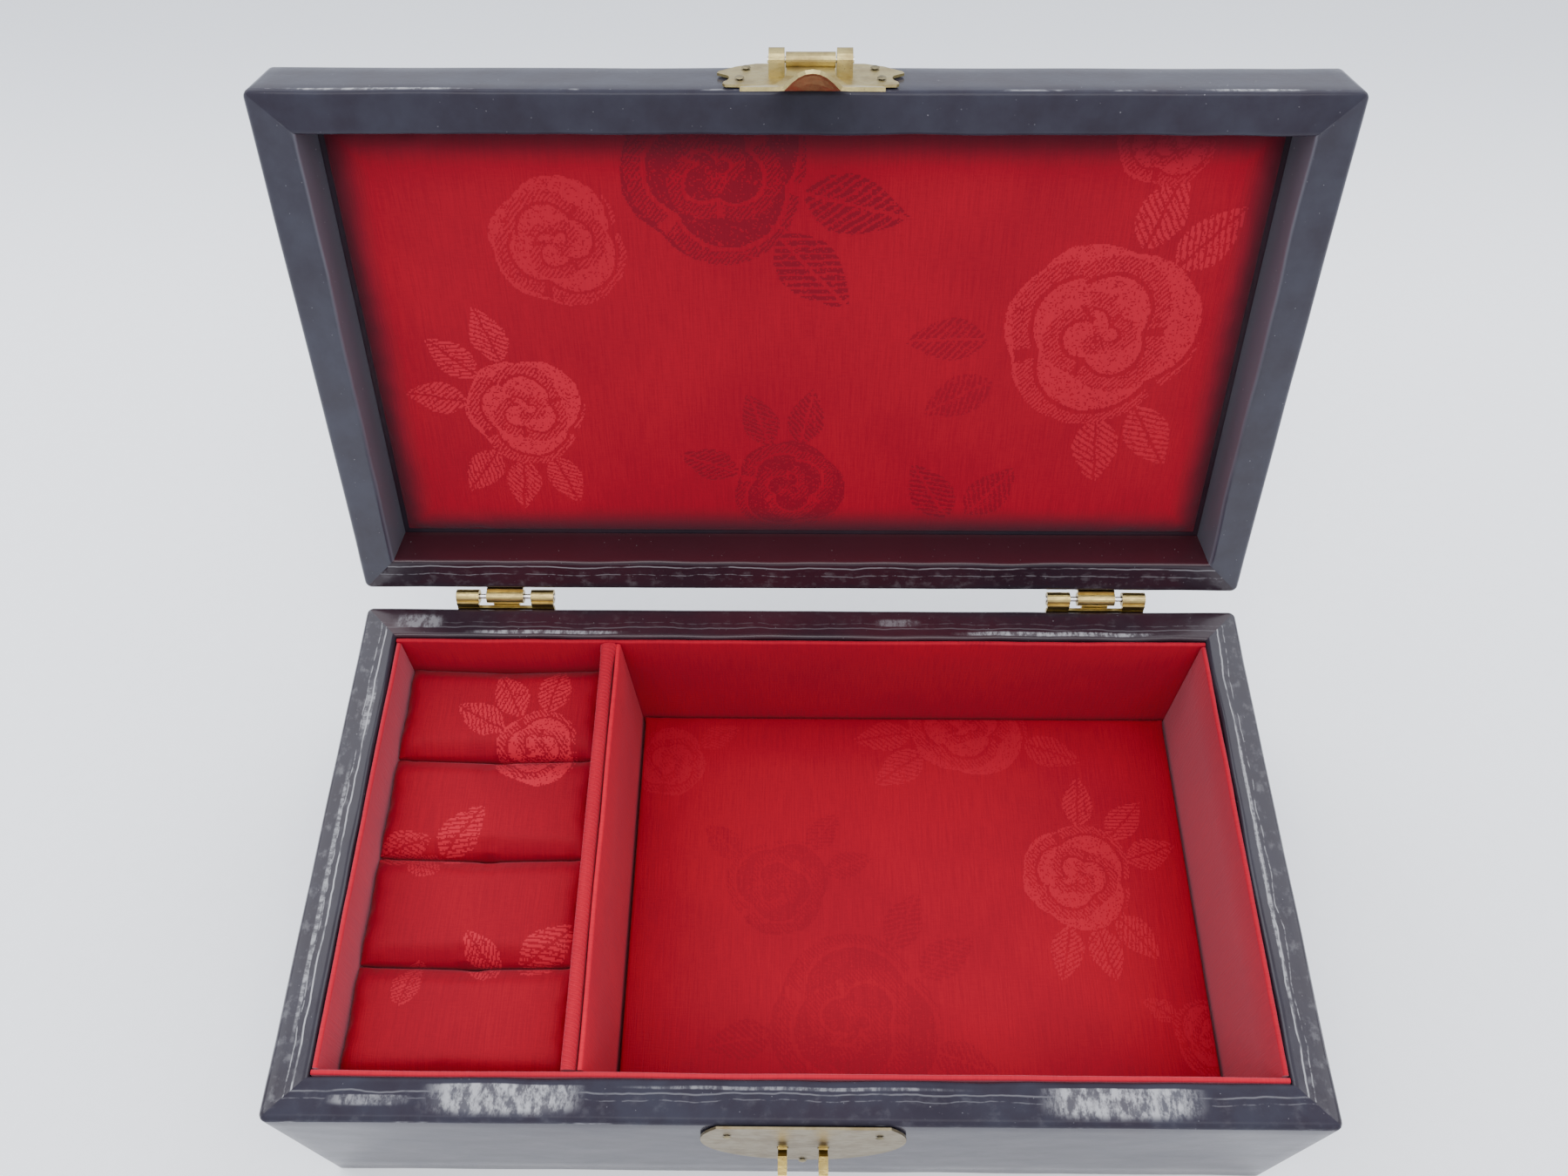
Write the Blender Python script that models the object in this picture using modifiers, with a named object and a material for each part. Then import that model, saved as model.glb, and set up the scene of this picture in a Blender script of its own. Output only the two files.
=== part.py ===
"""A lacquered wooden jewelry box with a hinged lid, a fabric-lined tray, four ring rolls and a brass hasp.

Metres, +Z up. The origin is the centre of the base's underside, +X is along the long side and the front
faces -Y. The lid is modelled closed on an empty at its hinge axis, and that empty holds it open against the
hinge stops.
The hasp flap hangs on a second empty, on the pin of the lid's latch plate.
"""
import math

import bmesh
import bpy
from mathutils import Matrix, Vector

# ---- Driving dimensions --------------------------------------------------------------------------
BOX_LENGTH = 0.250
BOX_DEPTH = 0.140
BASE_HEIGHT = 0.064
LID_HEIGHT = 0.0188
WALL = 0.010                      # thickness of the wooden walls
GAP = 0.0003                      # gap between touching pieces
RABBET_DEPTH = 0.005              # how far a panel reaches into the walls
BOTTOM_PANEL_THICKNESS = 0.008
TOP_PANEL_THICKNESS = 0.0045
EDGE_ROUNDING = 0.0010

FLOOR_BOARD_THICKNESS = 0.0035
LINER_THICKNESS = 0.0013          # covered card
LINER_TOP_SETBACK = 0.0004        # below the rim
FLOOR_DEPTH = 0.044               # rim to the floor pad's face
DIVIDER_LEFT = -0.0563
DIVIDER_THICKNESS = 0.0037
DIVIDER_LINER_THICKNESS = 0.0014
DIVIDER_LINER_TOP = -0.0516       # x of the leaning card's middle at its top
DIVIDER_LINER_FOOT = -0.0490      # x of its middle at the floor board
LEANING_CARD_TRIM = 0.0002        # keeps its tilted corners off the floor board

ROLL_COUNT = 4
ROLL_CROWN_DEPTH = 0.0125         # rim to the top of a ring roll
ROLL_HEIGHT = 0.023
ROLL_ROUNDNESS = 2.6              # exponent of the roll's section

LINING_PAD_DEPTH = 0.0112         # the lid's mating plane to the middle of the pad's face
LINING_BOARD_THICKNESS = 0.0012
LINING_PAD_MARGIN = 0.0013        # pad edge to wooden wall
LINING_BOARD_SETBACK = 0.0010     # board edge inside the pad's
FLOOR_PAD_ROUNDING = 0.0010
LINING_PAD_ROUNDING = 0.0008

HINGE_X = 0.085                   # each hinge's middle, left and right
HINGE_LENGTH = 0.028
OUTER_KNUCKLE = 0.0065
CENTRE_KNUCKLE = 0.0106
LEAF_HEIGHT = 0.010
LEAF_THICKNESS = 0.0009
LEAF_CORNER = 0.0012
TAB_OVERLAP = 0.0005              # how far a knuckle's tab reaches into its leaf
TAB_CLEARANCE = 0.0001            # tab's side inside its barrel's end
TAB_THICKNESS = 0.00086
PIN_END = 0.0002                  # hinge pin proud of the knuckles at each end
KNUCKLE_RADIUS = 0.00195
KNUCKLE_BORE = 0.00095
PIN_RADIUS = 0.00075
HINGE_OFFSET = 0.00294            # hinge axis behind the back faces
HINGE_RISE = 0.00075              # hinge axis above the middle of the closed gap
CLOSED_GAP = 0.0005               # between the rims when the lid is shut
LID_OPEN_ANGLE = math.radians(109.0)
STOP_LENGTH = 0.0034              # hinge axis to the tip of the stop lug
STOP_THICKNESS = 0.0010
STOP_ROOT = 0.0004                # the lug's near end, outside the bore
STOP_SHARE = 0.7                  # the lug's width as a share of the centre knuckle's

PLATE_THICKNESS = 0.0006
LATCH_X = 0.0015                  # middle of the lid's latch plate
CATCH_X = 0.0011                  # middle of the base's catch plate
CATCH_RADIUS = 0.0245
CATCH_CENTRE_DEPTH = 0.0143       # below the rim
STAPLE_SPACING = 0.00493          # each staple from the catch plate's middle
STAPLE_WIDTH = 0.0022
STAPLE_DEPTH = 0.0223             # below the rim
STAPLE_REACH = 0.0108             # out of the front face
STAPLE_EYE_HALF = 0.0032          # half the eye's height
STAPLE_EYE_START = 0.0030         # where the legs have spread into the eye, out of the front face
STAPLE_LEG = 0.00075              # half the height of the two legs together
STAPLE_STRIP = 0.0008             # thickness of the bent strip
STAPLE_ROOT = 0.0065              # how far the legs reach into the wall
STAPLE_FLARE = 0.0015             # where the legs start to spread
STAPLE_HOLE_LENGTH = 0.0165
HASP_AXIS_OFFSET = 0.0040         # in front of the lid's face
HASP_AXIS_HEIGHT = 0.0093         # above the lid's mating plane
HASP_LENGTH = 0.042
HASP_HALF_WIDTH = 0.0143
HASP_NECK_HALF_WIDTH = 0.0054
HASP_THICKNESS = 0.0008
HASP_CURL_RADIUS = 0.0017
HASP_PLANE_OFFSET = 0.0022        # hasp axis to the middle plane of the flap's neck
HASP_KICK = math.tan(math.radians(15.8))     # outward bend of the flap beyond its neck
HASP_KICK_START = 0.0120          # where it bends, from the axis
HASP_SCALLOP = 0.0012             # how far the free end's corners are cut back
HASP_RIPPLE = 0.0011              # swell of the flap's sides
HASP_SPREAD = (0.0035, 0.0350)    # distances from the axis over which the flap widens
HASP_STEP = (0.0010, 0.0060)      # distances over which it steps out to its plane
HASP_BEND = (0.0090, 0.0160)      # distances over which it bends outwards
THUMB_ARCH_HEIGHT = 0.0034
THUMB_ARCH_HALF_WIDTH = 0.0058
THUMB_ARCH_RISE = (0.0375, 0.0415)
HASP_SLOT = (0.0032, 0.0060, 0.0082)
HASP_CURL_CLEARANCE = 0.00025     # the curl's end to each ear
PIN_BORE_LENGTH = 0.040           # longer than anything it passes through
EAR_RADIUS = 0.0026
EAR_WIDTH = 0.0036
EAR_INNER = 0.00585               # latch plate's middle to the ears' inner faces

NAIL_HEAD_RADIUS = 0.0011
NAIL_HEAD_HEIGHT = 0.0005
NAIL_SHANK_RADIUS = 0.00045
NAIL_LENGTH = 0.006
NAIL_HOLE_RADIUS = 0.00075

# ---- Places that follow from them ----------------------------------------------------------------
HALF_LENGTH = BOX_LENGTH / 2
HALF_DEPTH = BOX_DEPTH / 2
INNER_X = HALF_LENGTH - WALL
INNER_Y = HALF_DEPTH - WALL
LINED_X = INNER_X - GAP - LINER_THICKNESS
LINED_Y = INNER_Y - GAP - LINER_THICKNESS
MATING_Z = BASE_HEIGHT + CLOSED_GAP
FLOOR_BOARD_BOTTOM = BOTTOM_PANEL_THICKNESS + GAP
FLOOR_BOARD_TOP = FLOOR_BOARD_BOTTOM + FLOOR_BOARD_THICKNESS
LINER_BOTTOM = FLOOR_BOARD_TOP + GAP
LINER_TOP = BASE_HEIGHT - LINER_TOP_SETBACK
FLOOR_Z = BASE_HEIGHT - FLOOR_DEPTH
DIVIDER_RIGHT = DIVIDER_LEFT + DIVIDER_THICKNESS
LID_AXIS = Vector((0.0, HALF_DEPTH + HINGE_OFFSET, BASE_HEIGHT + CLOSED_GAP / 2 + HINGE_RISE))
HASP_AXIS = Vector((LATCH_X, -HALF_DEPTH - HASP_AXIS_OFFSET, MATING_Z + HASP_AXIS_HEIGHT))
HASP_SLOT_DROP = HASP_AXIS.z - (BASE_HEIGHT - STAPLE_DEPTH)
PLATE_MIDDLE = GAP + PLATE_THICKNESS / 2
LATCH_NAILS = ((-0.0159, 0.0055), (-0.0147, 0.0131), (0.0147, 0.0131), (0.0159, 0.0055))
CATCH_NAILS = ((-0.0179, -0.0080), (0.0179, -0.0080), (0.0, -0.0375))
LEAF_START = KNUCKLE_RADIUS + GAP / 2       # hinge axis to the leaf's near edge
LEAF_NAIL_X = 0.0095
LEAF_NAIL_DROP = 0.0060

FRONT = 0.0
RIGHT = math.pi / 2
BACK = math.pi
LEFT = -math.pi / 2


# ---- Scene, collections and materials ------------------------------------------------------------
def clear_scene():
    for obj in list(bpy.data.objects):
        bpy.data.objects.remove(obj, do_unlink=True)


def new_collection(name):
    collection = bpy.data.collections.new(name)
    bpy.context.scene.collection.children.link(collection)
    return collection


def new_material(name, colour, roughness, metallic=0.0):
    material = bpy.data.materials.new(name)
    material.use_nodes = True
    shader = material.node_tree.nodes["Principled BSDF"]
    shader.inputs["Base Color"].default_value = (*colour, 1.0)
    shader.inputs["Roughness"].default_value = roughness
    shader.inputs["Metallic"].default_value = metallic
    return material


clear_scene()
BOX = new_collection("jewelry_box")
CUTTERS = new_collection("cutters")
LACQUER = new_material("dark_maroon_lacquer", (0.022, 0.006, 0.010), 0.22)
DAMASK = new_material("red_damask", (0.50, 0.010, 0.022), 0.55)
CARD = new_material("grey_card", (0.30, 0.28, 0.25), 0.85)
FOAM = new_material("foam", (0.75, 0.70, 0.55), 0.95)
BRASS = new_material("pale_brass", (0.72, 0.60, 0.30), 0.32, 1.0)
STEEL = new_material("steel", (0.70, 0.70, 0.72), 0.28, 1.0)


def add_empty(name, location, angle_x, parent=None):
    empty = bpy.data.objects.new(name, None)
    BOX.objects.link(empty)
    empty.parent = parent
    empty.location = location
    empty.rotation_euler = (angle_x, 0.0, 0.0)
    return empty


LID_PIVOT = add_empty("lid_hinge_axis", LID_AXIS, -LID_OPEN_ANGLE)
HASP_PIVOT = add_empty("hasp_hinge_axis", HASP_AXIS - LID_AXIS, 0.0, LID_PIVOT)
PIVOT_PLACE = {None: Vector((0.0, 0.0, 0.0)), LID_PIVOT: LID_AXIS, HASP_PIVOT: HASP_AXIS}


# ---- Shapes --------------------------------------------------------------------------------------
def add_piece(name, mesh, material, location, parent=None, turn=0.0, smooth=False):
    """A sub-part placed by its location with the lid shut and the hasp hanging. Its parent is the empty that
    moves it."""
    piece = bpy.data.objects.new(name, mesh)
    BOX.objects.link(piece)
    piece.parent = parent
    piece.location = Vector(location) - PIVOT_PLACE[parent]
    piece.rotation_euler = (0.0, 0.0, turn)
    mesh.materials.append(material)
    if smooth:
        mesh.shade_smooth()
        mesh.set_sharp_from_angle(angle=math.radians(35))
    return piece


def mesh_from(name, build):
    mesh = bpy.data.meshes.new(name)
    bm = bmesh.new()
    build(bm)
    bm.normal_update()
    bm.to_mesh(mesh)
    bm.free()
    return mesh


def block(name, size):
    def build(bm):
        bmesh.ops.create_cube(bm, size=1.0, matrix=Matrix.Diagonal((*size, 1.0)))
    return mesh_from(name, build)


def rod(name, radius, length, segments=20, axis="X"):
    """A cylinder along X or Y, centred on its origin."""
    turn = Matrix.Rotation(math.pi / 2, 4, "Y" if axis == "X" else "X")

    def build(bm):
        bmesh.ops.create_cone(bm, cap_ends=True, segments=segments, radius1=radius, radius2=radius,
                              depth=length, matrix=turn)
    return mesh_from(name, build)


def flat_outline(name, outlines, thickness, placement):
    """A plate: closed outlines drawn in XY and extruded along Z, then turned by the placement matrix.
    An outline inside another is a hole."""
    curve = bpy.data.curves.new(name + "_outline", "CURVE")
    curve.dimensions = "2D"
    curve.fill_mode = "BOTH"
    curve.extrude = thickness / 2
    for points in outlines:
        spline = curve.splines.new("POLY")
        spline.points.add(len(points) - 1)
        for point, (x, y) in zip(spline.points, points):
            point.co = (x, y, 0.0, 1.0)
        spline.use_cyclic_u = True
    holder = bpy.data.objects.new(name + "_outline", curve)
    CUTTERS.objects.link(holder)
    evaluated = holder.evaluated_get(bpy.context.evaluated_depsgraph_get())
    mesh = bpy.data.meshes.new_from_object(evaluated)
    mesh.name = name
    bpy.data.objects.remove(holder, do_unlink=True)
    bm = bmesh.new()
    bm.from_mesh(mesh)
    bmesh.ops.remove_doubles(bm, verts=bm.verts, dist=1e-6)
    bmesh.ops.transform(bm, matrix=placement, verts=bm.verts)
    bmesh.ops.recalc_face_normals(bm, faces=bm.faces)
    bm.to_mesh(mesh)
    bm.free()
    return mesh


def arc(centre, radius, start, end, steps):
    """Points on an arc, angles in degrees."""
    points = []
    for i in range(steps + 1):
        angle = math.radians(start + (end - start) * i / steps)
        points.append((centre[0] + radius * math.cos(angle), centre[1] + radius * math.sin(angle)))
    return points


def smoothstep(low, high, value):
    t = min(max((value - low) / (high - low), 0.0), 1.0)
    return t * t * (3.0 - 2.0 * t)


# Outline placements: X of the outline first, then Y, then the extrusion.
UPRIGHT_ALONG_X = Matrix(((0, 0, 1, 0), (1, 0, 0, 0), (0, 1, 0, 0), (0, 0, 0, 1)))   # outline in YZ
UPRIGHT_ALONG_Y = Matrix(((1, 0, 0, 0), (0, 0, -1, 0), (0, 1, 0, 0), (0, 0, 0, 1)))  # outline in XZ


def tool(name, mesh, location, parent=None):
    """A hidden shape that a Boolean adds or takes away. Its location is given as for a piece."""
    helper = bpy.data.objects.new(name, mesh)
    CUTTERS.objects.link(helper)
    helper.parent = parent
    helper.location = Vector(location) - PIVOT_PLACE[parent]
    helper.hide_render = True
    helper.display_type = "WIRE"
    return helper


def combine(piece, helper, operation):
    modifier = piece.modifiers.new(helper.name, "BOOLEAN")
    modifier.operation = operation
    modifier.solver = "EXACT"
    modifier.object = helper


def cut(piece, helper):
    combine(piece, helper, "DIFFERENCE")


def join(piece, helper):
    combine(piece, helper, "UNION")


# ---- Wooden walls --------------------------------------------------------------------------------
def wall_section(height, rabbet_low, rabbet_high):
    """The section of a wall as (distance in from the outer face, height), with rounded outer edges.
    The rabbet takes the edge of a panel: below rabbet_low in the base, above rabbet_high in the lid."""
    r = EDGE_ROUNDING
    points = arc((r, r), r, 180, 270, 3)
    if rabbet_low:
        points += [(WALL - RABBET_DEPTH, 0.0), (WALL - RABBET_DEPTH, rabbet_low), (WALL, rabbet_low)]
    else:
        points += [(WALL, 0.0)]
    if rabbet_high:
        points += [(WALL, rabbet_high), (WALL - RABBET_DEPTH, rabbet_high), (WALL - RABBET_DEPTH, height)]
    else:
        points += [(WALL, height)]
    return points + arc((r, height - r), r, 90, 180, 3)


def mitred_wall(name, section, length, distance, side, bottom, parent=None):
    """A wall with its outer face at the given distance from the box's middle and mitred ends."""
    mesh = flat_outline(name, [section], length, UPRIGHT_ALONG_X)
    mitre_setback = GAP / math.sqrt(2)
    for vertex in mesh.vertices:
        half = length / 2 - vertex.co.y - mitre_setback
        vertex.co.x = math.copysign(half, vertex.co.x)
        vertex.co.y -= distance
    return add_piece(name, mesh, LACQUER, (0.0, 0.0, bottom), parent, side)


def make_walls(prefix, height, rabbet_low, rabbet_high, bottom, parent=None):
    section = wall_section(height, rabbet_low, rabbet_high)
    sides = {"front": (BOX_LENGTH, HALF_DEPTH, FRONT), "back": (BOX_LENGTH, HALF_DEPTH, BACK),
             "left": (BOX_DEPTH, HALF_LENGTH, LEFT), "right": (BOX_DEPTH, HALF_LENGTH, RIGHT)}
    walls = {}
    for side, (length, distance, turn) in sides.items():
        walls[side] = mitred_wall(f"{prefix}_{side}_wall", section, length, distance, turn, bottom, parent)
    return walls


def make_panel(name, thickness, middle_z, parent=None):
    reach = RABBET_DEPTH - GAP
    size = (2 * (INNER_X + reach), 2 * (INNER_Y + reach), thickness)
    return add_piece(name, block(name, size), LACQUER, (0.0, 0.0, middle_z), parent)


# ---- Nails ---------------------------------------------------------------------------------------
def nail_mesh():
    """A round-headed nail along Y: the head faces -Y and rests on the plane y = 0."""
    profile = [(0.0, NAIL_LENGTH), (NAIL_SHANK_RADIUS, NAIL_LENGTH - NAIL_SHANK_RADIUS)]
    profile += [(NAIL_SHANK_RADIUS, 0.0), (NAIL_HEAD_RADIUS, 0.0)]
    for i in range(1, 4):
        angle = math.radians(30 * i)
        profile.append((NAIL_HEAD_RADIUS * math.cos(angle), -NAIL_HEAD_HEIGHT * math.sin(angle)))
    profile[-1] = (0.0, -NAIL_HEAD_HEIGHT)

    def build(bm):
        ring = [bm.verts.new((radius, y, 0.0)) for radius, y in profile]
        edges = [bm.edges.new(pair) for pair in zip(ring, ring[1:])]
        bmesh.ops.spin(bm, geom=ring + edges, cent=(0, 0, 0), axis=(0, 1, 0), angle=2 * math.pi,
                       steps=12, use_merge=True)
        bmesh.ops.remove_doubles(bm, verts=bm.verts, dist=1e-6)
        bmesh.ops.recalc_face_normals(bm, faces=bm.faces)
    return mesh_from("nail", build)


def add_nail(name, x, face_y, z, plate_top, outward, pierced, parent=None):
    """A nail through a plate into a wall, with a clear hole in each pierced piece.
    face_y is the wall's face, and outward is -1 on the front and +1 on the back."""
    turn = 0.0 if outward < 0 else math.pi
    head_y = face_y + outward * (plate_top + GAP)
    add_piece(name, nail_mesh(), BRASS, (x, head_y, z), parent, turn, smooth=True)
    hole_length = 2 * NAIL_LENGTH
    hole_mesh = rod(name + "_hole", NAIL_HOLE_RADIUS, hole_length, 12, "Y")
    hole_y = face_y - outward * (NAIL_LENGTH / 2 - hole_length / 4)
    hole = tool(name + "_hole", hole_mesh, (x, hole_y, z), parent)
    for piece in pierced:
        cut(piece, hole)


# ---- The tray: liners, divider, floor and ring rolls ---------------------------------------------
def make_tray():
    board_size = (2 * (INNER_X - GAP), 2 * (INNER_Y - GAP), FLOOR_BOARD_THICKNESS)
    board_z = (FLOOR_BOARD_BOTTOM + FLOOR_BOARD_TOP) / 2
    add_piece("floor_board", block("floor_board", board_size), CARD, (0.0, 0.0, board_z))

    liner_height = LINER_TOP - LINER_BOTTOM
    liner_z = (LINER_TOP + LINER_BOTTOM) / 2
    long_size = (2 * (INNER_X - GAP), LINER_THICKNESS, liner_height)
    short_size = (LINER_THICKNESS, 2 * (LINED_Y - GAP), liner_height)
    for name, direction in (("liner_front_wall", -1), ("liner_back_wall", 1)):
        middle = direction * (LINED_Y + LINER_THICKNESS / 2)
        add_piece(name, block(name, long_size), DAMASK, (0.0, middle, liner_z))
    for name, direction in (("liner_left_wall", -1), ("liner_right_wall", 1)):
        middle = direction * (LINED_X + LINER_THICKNESS / 2)
        add_piece(name, block(name, short_size), DAMASK, (middle, 0.0, liner_z))

    divider_size = (DIVIDER_THICKNESS, 2 * (LINED_Y - GAP), BASE_HEIGHT - LINER_BOTTOM)
    divider_x = (DIVIDER_LEFT + DIVIDER_RIGHT) / 2
    divider_z = (BASE_HEIGHT + LINER_BOTTOM) / 2
    add_piece("divider", block("divider", divider_size), DAMASK, (divider_x, 0.0, divider_z))

    # The card on the divider's right face leans: its foot stands further out than its top.
    lean = math.atan2(DIVIDER_LINER_FOOT - DIVIDER_LINER_TOP, liner_height)
    leaning_height = liner_height / math.cos(lean) - LEANING_CARD_TRIM
    leaning_size = (DIVIDER_LINER_THICKNESS, 2 * (LINED_Y - GAP), leaning_height)
    card_x = (DIVIDER_LINER_FOOT + DIVIDER_LINER_TOP) / 2
    card = add_piece("divider_liner", block("divider_liner", leaning_size), DAMASK, (card_x, 0.0, liner_z))
    card.rotation_euler = (0.0, -lean, 0.0)

    pad_left = DIVIDER_LINER_FOOT + DIVIDER_LINER_THICKNESS / 2 + 2 * GAP
    pad_right = LINED_X - GAP
    pad_size = (pad_right - pad_left, 2 * (LINED_Y - GAP), FLOOR_Z - LINER_BOTTOM)
    pad_place = ((pad_left + pad_right) / 2, 0.0, (FLOOR_Z + LINER_BOTTOM) / 2)
    pad = add_piece("floor_pad", block("floor_pad", pad_size), DAMASK, pad_place)
    soften(pad, FLOOR_PAD_ROUNDING)
    make_ring_rolls()


def soften(piece, width, segments=3):
    modifier = piece.modifiers.new("rounded edges", "BEVEL")
    modifier.width = width
    modifier.segments = segments
    modifier.limit_method = "ANGLE"


def roll_section(half_width, half_height, steps=28):
    """The flattened round section of a ring roll."""
    power = 2.0 / ROLL_ROUNDNESS
    points = []
    for i in range(steps):
        angle = 2 * math.pi * i / steps
        y = half_width * math.copysign(abs(math.cos(angle)) ** power, math.cos(angle))
        z = half_height * math.copysign(abs(math.sin(angle)) ** power, math.sin(angle))
        points.append((y, z))
    return points


def make_ring_rolls():
    left = -LINED_X + GAP
    right = DIVIDER_LEFT - GAP
    middle_x = (left + right) / 2
    crown = BASE_HEIGHT - ROLL_CROWN_DEPTH
    bed_top = crown - ROLL_HEIGHT - GAP
    bed_size = (right - left, 2 * (LINED_Y - GAP), bed_top - LINER_BOTTOM)
    bed_place = (middle_x, 0.0, (bed_top + LINER_BOTTOM) / 2)
    add_piece("ring_roll_bed", block("ring_roll_bed", bed_size), FOAM, bed_place)

    pitch = 2 * LINED_Y / ROLL_COUNT
    section = roll_section((pitch - GAP) / 2, ROLL_HEIGHT / 2)
    for i in range(ROLL_COUNT):
        name = f"ring_roll_{i + 1}"
        y = LINED_Y - pitch * (i + 0.5)
        mesh = flat_outline(name, [section], right - left, UPRIGHT_ALONG_X)
        add_piece(name, mesh, DAMASK, (middle_x, y, crown - ROLL_HEIGHT / 2), smooth=True)


# ---- The lid's lining ----------------------------------------------------------------------------
def make_lid_lining():
    panel_inner = MATING_Z + LID_HEIGHT - TOP_PANEL_THICKNESS
    board_top = panel_inner - GAP
    board_bottom = board_top - LINING_BOARD_THICKNESS
    half_x = INNER_X - LINING_PAD_MARGIN
    half_y = INNER_Y - LINING_PAD_MARGIN
    board_length = 2 * (half_x - LINING_BOARD_SETBACK)
    board_depth = 2 * (half_y - LINING_BOARD_SETBACK)
    board_size = (board_length, board_depth, LINING_BOARD_THICKNESS)
    board_z = (board_top + board_bottom) / 2
    board = block("lid_lining_board", board_size)
    add_piece("lid_lining_board", board, CARD, (0.0, 0.0, board_z), LID_PIVOT)
    pad_bottom = MATING_Z + LINING_PAD_DEPTH
    pad_top = board_bottom - GAP
    pad_size = (2 * half_x, 2 * half_y, pad_top - pad_bottom)
    pad_z = (pad_bottom + pad_top) / 2
    pad = block("lid_lining_pad", pad_size)
    soften(add_piece("lid_lining_pad", pad, DAMASK, (0.0, 0.0, pad_z), LID_PIVOT), LINING_PAD_ROUNDING)


# ---- Hinges --------------------------------------------------------------------------------------
def leaf_outline(direction):
    """A leaf seen from behind, heights from the hinge axis. direction is -1 below it and +1 above it."""
    half = HINGE_LENGTH / 2
    r = LEAF_CORNER
    points = [(-half, LEAF_START), (half, LEAF_START)]
    points += arc((half - r, LEAF_HEIGHT - r), r, 0, 90, 3)
    points += arc((-half + r, LEAF_HEIGHT - r), r, 90, 180, 3)
    return [(x, direction * z) for x, z in points]


def make_leaf(name, x, direction, wall, parent=None):
    """The base's leaf carries the two outer knuckles and the lid's leaf the centre one."""
    axis_y = LID_AXIS.y
    axis_z = LID_AXIS.z
    leaf_y = HALF_DEPTH + GAP + LEAF_THICKNESS / 2
    mesh = flat_outline(name, [leaf_outline(direction)], LEAF_THICKNESS, UPRIGHT_ALONG_Y)
    leaf = add_piece(name, mesh, BRASS, (x, leaf_y, axis_z), parent, smooth=True)
    if direction < 0:
        offset = (HINGE_LENGTH - OUTER_KNUCKLE) / 2
        knuckles = [(-offset, OUTER_KNUCKLE), (offset, OUTER_KNUCKLE)]
    else:
        knuckles = [(0.0, CENTRE_KNUCKLE)]
    tab_height = LEAF_START + TAB_OVERLAP
    for i, (offset, length) in enumerate(knuckles):
        tab = block(f"{name}_tab_{i + 1}", (length - 2 * TAB_CLEARANCE, TAB_THICKNESS, tab_height))
        join(leaf, tool(tab.name, tab, (x + offset, leaf_y, axis_z + direction * tab_height / 2), parent))
        barrel = rod(f"{name}_knuckle_{i + 1}", KNUCKLE_RADIUS, length, 24)
        join(leaf, tool(barrel.name, barrel, (x + offset, axis_y, axis_z), parent))
    if direction > 0:
        add_stop_lug(leaf, x, parent)
    bore = rod(name + "_bore", KNUCKLE_BORE, 2 * HINGE_LENGTH, 20)
    cut(leaf, tool(bore.name, bore, (x, axis_y, axis_z), parent))
    for i, side in enumerate((-1, 1)):
        place = (x + side * LEAF_NAIL_X, HALF_DEPTH, axis_z + direction * LEAF_NAIL_DROP)
        add_nail(f"{name}_nail_{i + 1}", *place, GAP + LEAF_THICKNESS, 1, (leaf, wall), parent)
    return leaf


def add_stop_lug(leaf, x, parent):
    """A lug on the centre knuckle. With the lid open it hangs straight down behind the base's leaf and bears
    on it, so it points out and a little up when the lid is shut."""
    face_gap = HINGE_OFFSET - GAP - LEAF_THICKNESS - GAP
    lug_length = STOP_LENGTH - KNUCKLE_BORE - STOP_ROOT
    lug_mesh = block(leaf.name + "_stop", (STOP_SHARE * CENTRE_KNUCKLE, STOP_THICKNESS, lug_length))
    lug_middle = STOP_THICKNESS / 2 - face_gap
    to_open_pose = Matrix.Translation((0.0, lug_middle, -STOP_LENGTH + lug_length / 2))
    lug_mesh.transform(Matrix.Rotation(LID_OPEN_ANGLE, 4, "X") @ to_open_pose)
    join(leaf, tool(lug_mesh.name, lug_mesh, (x, LID_AXIS.y, LID_AXIS.z), parent))


def make_hinges(base_back, lid_back):
    for side, x in (("left", -HINGE_X), ("right", HINGE_X)):
        make_leaf(f"hinge_{side}_base_leaf", x, -1, base_back)
        make_leaf(f"hinge_{side}_lid_leaf", x, 1, lid_back, LID_PIVOT)
        name = f"hinge_{side}_pin"
        pin = rod(name, PIN_RADIUS, HINGE_LENGTH + 2 * PIN_END)
        add_piece(name, pin, STEEL, (x, LID_AXIS.y, LID_AXIS.z), smooth=True)


# ---- Catch plate and staples on the base ---------------------------------------------------------
def catch_outline():
    """A disc cut off level with the rim, heights from the rim."""
    rise = CATCH_CENTRE_DEPTH - GAP
    cut_angle = math.degrees(math.asin(rise / CATCH_RADIUS))
    return arc((0.0, -CATCH_CENTRE_DEPTH), CATCH_RADIUS, 180 - cut_angle, 360 + cut_angle, 40)


def staple_outlines():
    """A strip bent into an eye: distances out of the front face, and heights from its middle."""
    half = STAPLE_EYE_HALF
    bend = STAPLE_STRIP / 2
    eye_start = STAPLE_EYE_START
    upper = [(-STAPLE_ROOT, STAPLE_LEG), (STAPLE_FLARE, STAPLE_LEG)]
    upper += [(eye_start - bend / 2, half - bend), (eye_start + bend, half)]
    upper += arc((STAPLE_REACH - half, 0.0), half, 90, 0, 6)
    lower = [(x, -z) for x, z in reversed(upper[:-1])]
    inner_half = half - STAPLE_STRIP
    inner_start = eye_start + STAPLE_STRIP
    eye = [(inner_start, -inner_half + bend), (inner_start, inner_half - bend)]
    eye += arc((STAPLE_REACH - half, 0.0), inner_half, 90, -90, 8)
    return [upper + lower, eye]


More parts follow.
